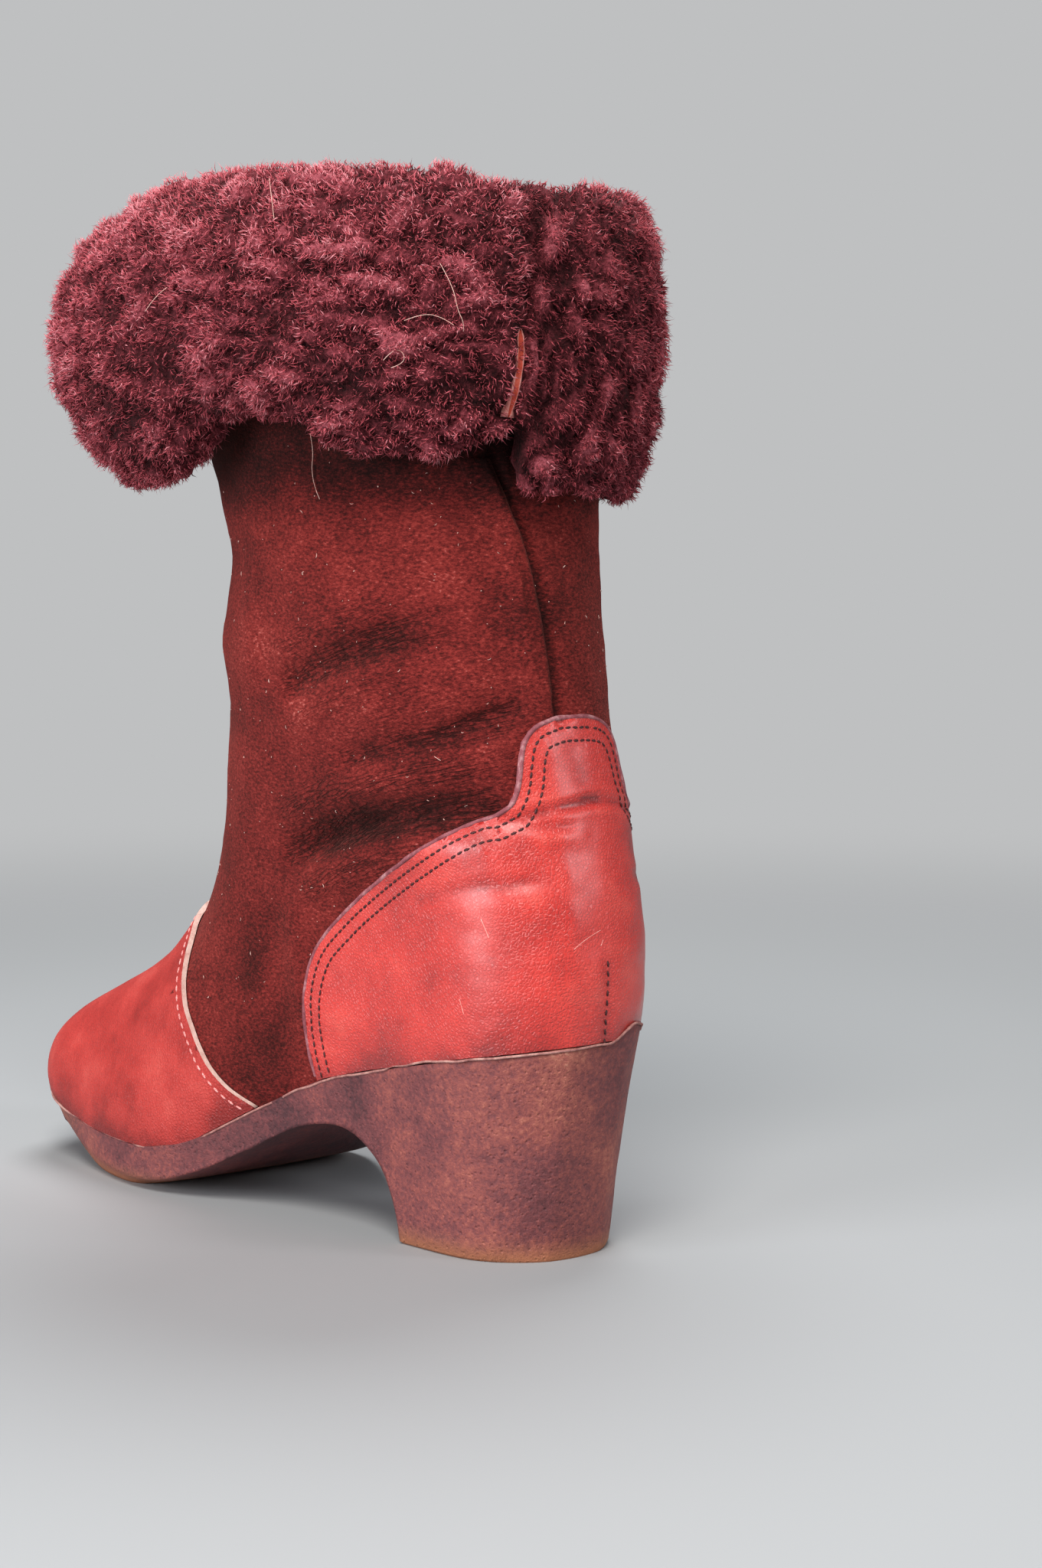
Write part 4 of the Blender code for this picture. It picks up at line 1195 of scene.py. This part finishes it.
skin_form = bmesh.new()
bmesh.ops.create_grid(skin_form, x_segments=CUT_EDGE_COLUMNS, y_segments=30, size=1.0)
for face in skin_form.faces:
    if abs(face.calc_center_median().x) > 1 - 2 / CUT_EDGE_COLUMNS:
        face.material_index = GRAIN_FACE
cut_line = np.array(CUT_EDGE)
for vert in skin_form.verts:
    down = (vert.co.y + 1) / 2 * (len(cut_line) - 1)
    turn, distance, height = between(down, range(len(cut_line)), cut_line)
    bulge = 0.25 * vert.co.x**2 + 0.1 * noise.noise((height / 1.3, vert.co.x, 2.0))
    ragged = 0.12 * noise.noise((height / 2.0, vert.co.x, 7.0))
    taper = 1 - 0.85 * abs(vert.co.y) ** 5
    turn += math.degrees((vert.co.x * taper * CUT_EDGE_WIDTH / 2 + ragged) / distance)
    vert.co = round_spot(turn, distance + bulge, height)
facing_out(skin_form)
skin_mesh = applied(to_mesh(skin_form, "cut_skin_edge"), "SOLIDIFY", thickness=CUT_EDGE_DEPTH * MM, offset=-1.0)
piece("cut_skin_edge", skin_mesh, "suede_hide", [cut_skin, cut_grain])

# ---------------- loose fibres

# Stray fibres that the photograph shows lying on the wool and the hide: (along, side, height) points in mm.
STRAYS = (
    ((12.0, 48.5, 272), (8.5, 47.0, 266), (8.0, 46.0, 260), (7.0, 44.5, 256.5), (9.0, 43.0, 254.5)),
    ((16.5, 57.0, 257), (13.0, 53.5, 259), (11.0, 48.5, 258), (9.5, 46.0, 256)),
    ((24, 58, 247), (21, 57, 250), (19, 55, 249), (19, 55, 246), (22, 57, 245)),
    ((66.5, 49.6, 229), (65.5, 49.2, 224), (67.0, 48.9, 219.5), (66.0, 48.5, 214), (64.5, 48.0, 211)),
    ((33.5, 32.9, 140.7), (31.5, 31.6, 139.3), (30.0, 30.7, 138.2), (31.5, 31.7, 137.6), (32.8, 32.4, 137.3)),
    ((56.0, 71.0, 296), (53.5, 72.0, 290), (52.0, 72.5, 285)),
    ((92, 86.5, 262), (88, 86.0, 266), (83, 85.5, 268)),
)
STRAY_RADIUS = 0.085
# Crumbs of nap that lie on the outside of the hide.
CRUMBS = 520
CRUMB_HEIGHTS = (60, 226)
CRUMB_SHORTEST, CRUMB_SPREAD, CRUMB_LIFT, CRUMB_BEND = 0.4, 1.3, 0.1, 0.2
CRUMB_PATH = ((-0.5, 0.0), (-0.15, 1.0), (0.2, 1.0), (0.5, 0.0))  # along and across, in lengths and bends
CRUMB_THIN, CRUMB_THICKER = 0.08, 0.09

stray_mesh = threads("stray_fibres", [[spot(*p) for p in points] for points in STRAYS], STRAY_RADIUS)
piece("stray_fibres", stray_mesh, "fleece", [stray_wool])

suede_height = places_of(suede_mesh)[:, 2] / MM
outside = (normals_of(suede_mesh) * outward_of(places_of(suede_mesh))).sum(1) > 0.3
crumb_share = outside * ((suede_height > CRUMB_HEIGHTS[0]) & (suede_height < CRUMB_HEIGHTS[1]))
crumb_place, crumb_normal, _ = sampled(suede_mesh, crumb_share.astype(float), np.zeros(len(suede_height)), CRUMBS)
crumb_way = unit(np.cross(crumb_normal, rng.normal(size=(CRUMBS, 3))))
crumb_length = (CRUMB_SHORTEST + CRUMB_SPREAD * rng.random(CRUMBS) ** 3)[:, None] * MM
crumb_base = crumb_place + crumb_normal * CRUMB_LIFT * MM
crumb_bend = np.cross(crumb_normal, crumb_way) * crumb_length * CRUMB_BEND
crumb_paths = np.stack(
    [crumb_base + crumb_way * crumb_length * along + crumb_bend * across for along, across in CRUMB_PATH], 1
)
crumb_radius = (CRUMB_THIN + CRUMB_THICKER * rng.random(CRUMBS)) * MM
crumbs = strands_mesh("nap_crumbs", crumb_paths, crumb_radius, np.full(CRUMBS, 0.5))
piece("nap_crumbs", crumbs, "suede_hide", [stray_wool])

# ---------------- lip

# The thin pale flash along the top of the sole's lip, uneven where it was trimmed by hand, with a small step under
# the front of the counter. Round the heel and the waist it follows the CAD lip's edge; round the forefoot, where the
# leather bulges over that edge, it lies where the sole comes out under the leather.
LIP_BEAD = 0.38
BEAD_POINTS = 260
LIP_EDGE = 35  # degrees between the lip's top and its outside
LIP_TOP, LIP_SIDE = 0.75, 0.6  # how far up the normals of the two look, at least and at most
LIP_GAP = 4.5
STEP_ALONG, STEP_WIDTH, STEP_RISE, STEP_GROWS = 57.0, (-1.0, 1.5), 0.7, (8, 40)
BEAD_SINK = 0.1
LIP_HIGHEST, LIP_LOWEST, LIP_SEARCH = 48.0, 6.0, 0.25
LIP_REACH, LIP_RAYS = 150.0, 150  # degrees to each side of the toe, and rays in all
FOREFOOT_ALONG = 165.0
LIP_OUTSIDE, LIP_PROUD = 200, 0.1


def lip_rim():
    """The lip's top outer edge on the CAD sole: a run round the heel and the waist that comes back along the lip's
    inner edge."""
    form = node_copy("sole")
    form.normal_update()
    links = {}
    for edge in form.edges:
        if len(edge.link_faces) != 2 or edge.calc_face_angle() < math.radians(LIP_EDGE):
            continue
        one, two = edge.verts
        middle = (one.co + two.co) / 2
        side_face, top_face = sorted(edge.link_faces, key=lambda f: f.normal.z)
        if top_face.normal.z < LIP_TOP or abs(side_face.normal.z) > LIP_SIDE:
            continue
        near, out, _, _ = cad_upper_tree.find_nearest(middle)
        if (middle - near).length <= LIP_GAP * MM and side_face.normal.dot(out) >= 0.2:
            tie(links, one.index, two.index)
    places = {v.index: v.co.copy() for v in form.verts}
    form.free()
    return [places[key] for key in max(chains(links, from_ends=False), key=len)]


def lip_at(around):
    """Where the sole comes out past the upper round the forefoot, looked for from above, in a level direction from
    the forefoot's middle (0 = the toe, + = the outer side)."""
    away = spot(math.cos(around), math.sin(around), 0) - spot(0, 0, 0)
    away = away.normalized()
    for height in np.arange(LIP_HIGHEST, LIP_LOWEST, -LIP_SEARCH):
        far = spot(FOREFOOT_ALONG, 0, height) + away * LIP_OUTSIDE * MM
        reach = [tree.ray_cast(far, -away)[3] for tree in (cad_sole_tree, vamp_tree, suede_tree)]
        if reach[0] is not None and all(other is None or reach[0] < other for other in reach[1:]):
            return far - away * (reach[0] - LIP_PROUD * MM)
    return None


rim = np.array(lip_rim())
rim = np.vstack([rim, rim[:1]])
rim_run = run_of(rim)
bead = np.array([between(at, rim_run, rim) for at in np.linspace(0, rim_run[-1], BEAD_POINTS, endpoint=False)])
bead_along, bead_side, _ = boot_sizes(bead)
waver = uneven(bead, ((14, 14, 14), 4.4, 0.45), ((5, 5, 5), 1.1, 0.22))
step_ends = (STEP_ALONG + width for width in STEP_WIDTH)
step_up = STEP_RISE * (1 - ramp(bead_along, *step_ends)) * ramp(bead_along, *STEP_GROWS)
bead[:, 2] += (waver + step_up * (bead_side > 0) - BEAD_SINK) * MM
bead = climbed(bead, boot_sizes(bead)[2])
front_lip = [lip_at(math.radians(around)) for around in np.linspace(-LIP_REACH, LIP_REACH, LIP_RAYS)]
front_lip = smoothed([p for p in front_lip if p is not None], 2)
front_lip[:, 2] += uneven(front_lip, ((9, 9, 9), 2.7, 0.25)) * MM
piece("lip_flash", threads("lip_flash", [front_lip], LIP_BEAD, rings=[bead]), "crepe_rubber", [lip_rubber])

# ---------------- lining

LINING_HEIGHTS = (12, 268)
LINING_PILE, LINING_LOCKS, LINING_THICKNESS = 4.5, 2.0, 2.5
LINING_SHADE = 0.55

lining_form = form_of(rounded(node_copy("upper"), "fleece_lining", 1, HARD_EDGE))
lining_form.normal_update()
outward = outer_faces(lining_form)
low, high = LINING_HEIGHTS
inside = {f for f in lining_form.faces if f not in outward and low * MM <= f.calc_center_median().z <= high * MM}
bmesh.ops.delete(lining_form, geom=[f for f in lining_form.faces if f not in inside], context="FACES")
lining_mesh = to_mesh(lining_form, "fleece_lining")
lining_places = places_of(lining_mesh)
lining_lift = np.abs(noise_at(lining_places, (8, 8, 8), 9.3)) / 0.45
move_to(lining_mesh, moved(lining_places, normals_of(lining_mesh), LINING_PILE + LINING_LOCKS * lining_lift))
lining_mesh = applied(lining_mesh, "SOLIDIFY", thickness=LINING_THICKNESS * MM, offset=-1.0)
remember(lining_mesh, "lift", np.full(len(lining_mesh.vertices), LINING_SHADE))
piece("fleece_lining", lining_mesh, "fleece", [wool_in_painted_shade])

# ---------------- studio

FLOOR_RADIUS = 4.0  # m
floor_form = bmesh.new()
bmesh.ops.create_circle(floor_form, cap_ends=True, segments=96, radius=FLOOR_RADIUS)
floor_mesh = to_mesh(floor_form, "floor")
# Pale paper: plain and matt, fading into the backdrop away from the boot.
floor_finish, floor_tree, floor_coords = new_finish("pale_paper")
floor_tone = put(floor_tree, "TexNoise", {"Scale": 1.5, "Detail": 1.0}, {"Vector": floor_coords})
floor_colour = put(floor_tree, "ValToRGB", {"stops": ((0.3, "#9b9ea0"), (0.7, "#a0a3a5"))}, {"Fac": floor_tone})
floor_far = put(floor_tree, "VectorMath", {"operation": "LENGTH"}, {0: floor_coords}, out="Value")
fade = {"interpolation_type": "SMOOTHERSTEP", "From Min": 0.2, "From Max": 1.3}
floor_fade = put(floor_tree, "MapRange", fade, {"Value": floor_far})
paper = {"Roughness": 0.7, "Specular IOR Level": 0.25}
floor_shader = put(floor_tree, "BsdfPrincipled", paper, {"Base Color": floor_colour})
floor_clear = put(floor_tree, "BsdfTransparent")
floor_mix = put(floor_tree, "MixShader", links={0: floor_fade, 1: floor_shader, 2: floor_clear})
put(floor_tree, "OutputMaterial", links={"Surface": floor_mix})
floor_mesh.materials.append(floor_finish)
floor = in_scene("floor", floor_mesh)

scene = bpy.context.scene
scene.view_settings.view_transform = "Standard"
world = bpy.data.worlds.new("studio")
world.use_nodes = True
world.node_tree.nodes.clear()
seen = put(world.node_tree, "LightPath", out="Is Camera Ray")
backdrop = put(world.node_tree, "Background", {"Color": hue("#bfc0c1"), "Strength": 1.0})
ambient = put(world.node_tree, "Background", {"Color": hue("#c3c6ca"), "Strength": 0.28})
sky = put(world.node_tree, "MixShader", links={0: seen, 1: ambient, 2: backdrop})
put(world.node_tree, "OutputWorld", links={"Surface": sky})
scene.world = world

# Camera at the photograph's place: it looks a little down at the boot's outer side and back.
CAMERA_PLACE = Vector((0.56206, 0.73120, 0.20260))
FOCAL_PIXELS = 3997.7
PHOTO_TALL = 2048
HEEL_PIXELS_RIGHT = 110.8
HEEL_PIXELS_DOWN = 332.3
SENSOR = 36.0
level_aim = (spot(0, 0, 0) - CAMERA_PLACE).to_2d().normalized()
level_aim.rotate(Matrix.Rotation(math.atan(HEEL_PIXELS_RIGHT / FOCAL_PIXELS), 2))
pitch = math.atan(HEEL_PIXELS_DOWN / FOCAL_PIXELS)
aim = Vector((level_aim.x * math.cos(pitch), level_aim.y * math.cos(pitch), -math.sin(pitch)))
lens = bpy.data.cameras.new("camera")
lens.sensor_width = SENSOR
lens.lens = FOCAL_PIXELS / PHOTO_TALL * SENSOR
camera = in_scene("camera", lens)
camera.location = CAMERA_PLACE
camera.rotation_euler = aim.to_track_quat("-Z", "Y").to_euler()
scene.camera = camera

# Softboxes aimed at the boot: metres towards the camera, to its right and up from the boot, size in m, watts, tint.
SOFTBOXES = {
    "key": (0.95, -0.1, 1.05, 0.6, 19.5, "#fffaf5"),
    "left": (0.72, -0.86, 0.2, 0.66, 12.5, "#fbfbff"),
    "right": (0.48, 1.05, 0.4, 0.34, 4.2, "#fbfbff"),
    "top_back": (-0.45, 0.1, 1.15, 0.7, 14.0, "#ffffff"),
}
right = Vector((level_aim.y, -level_aim.x, 0))
back = Vector((-level_aim.x, -level_aim.y, 0))
centre = Vector((0, 0.03, 0.14))
for name, (nearer, aside, up, size, watts, tint) in SOFTBOXES.items():
    light = bpy.data.lights.new(name, "AREA")
    light.shape = "DISK"
    light.size = size
    light.energy = watts
    light.color = hue(tint)[:3]
    softbox = in_scene(name, light)
    softbox.location = centre + back * nearer + right * aside + Vector((0, 0, up))
    softbox.rotation_euler = (centre - softbox.location).to_track_quat("-Z", "Y").to_euler()
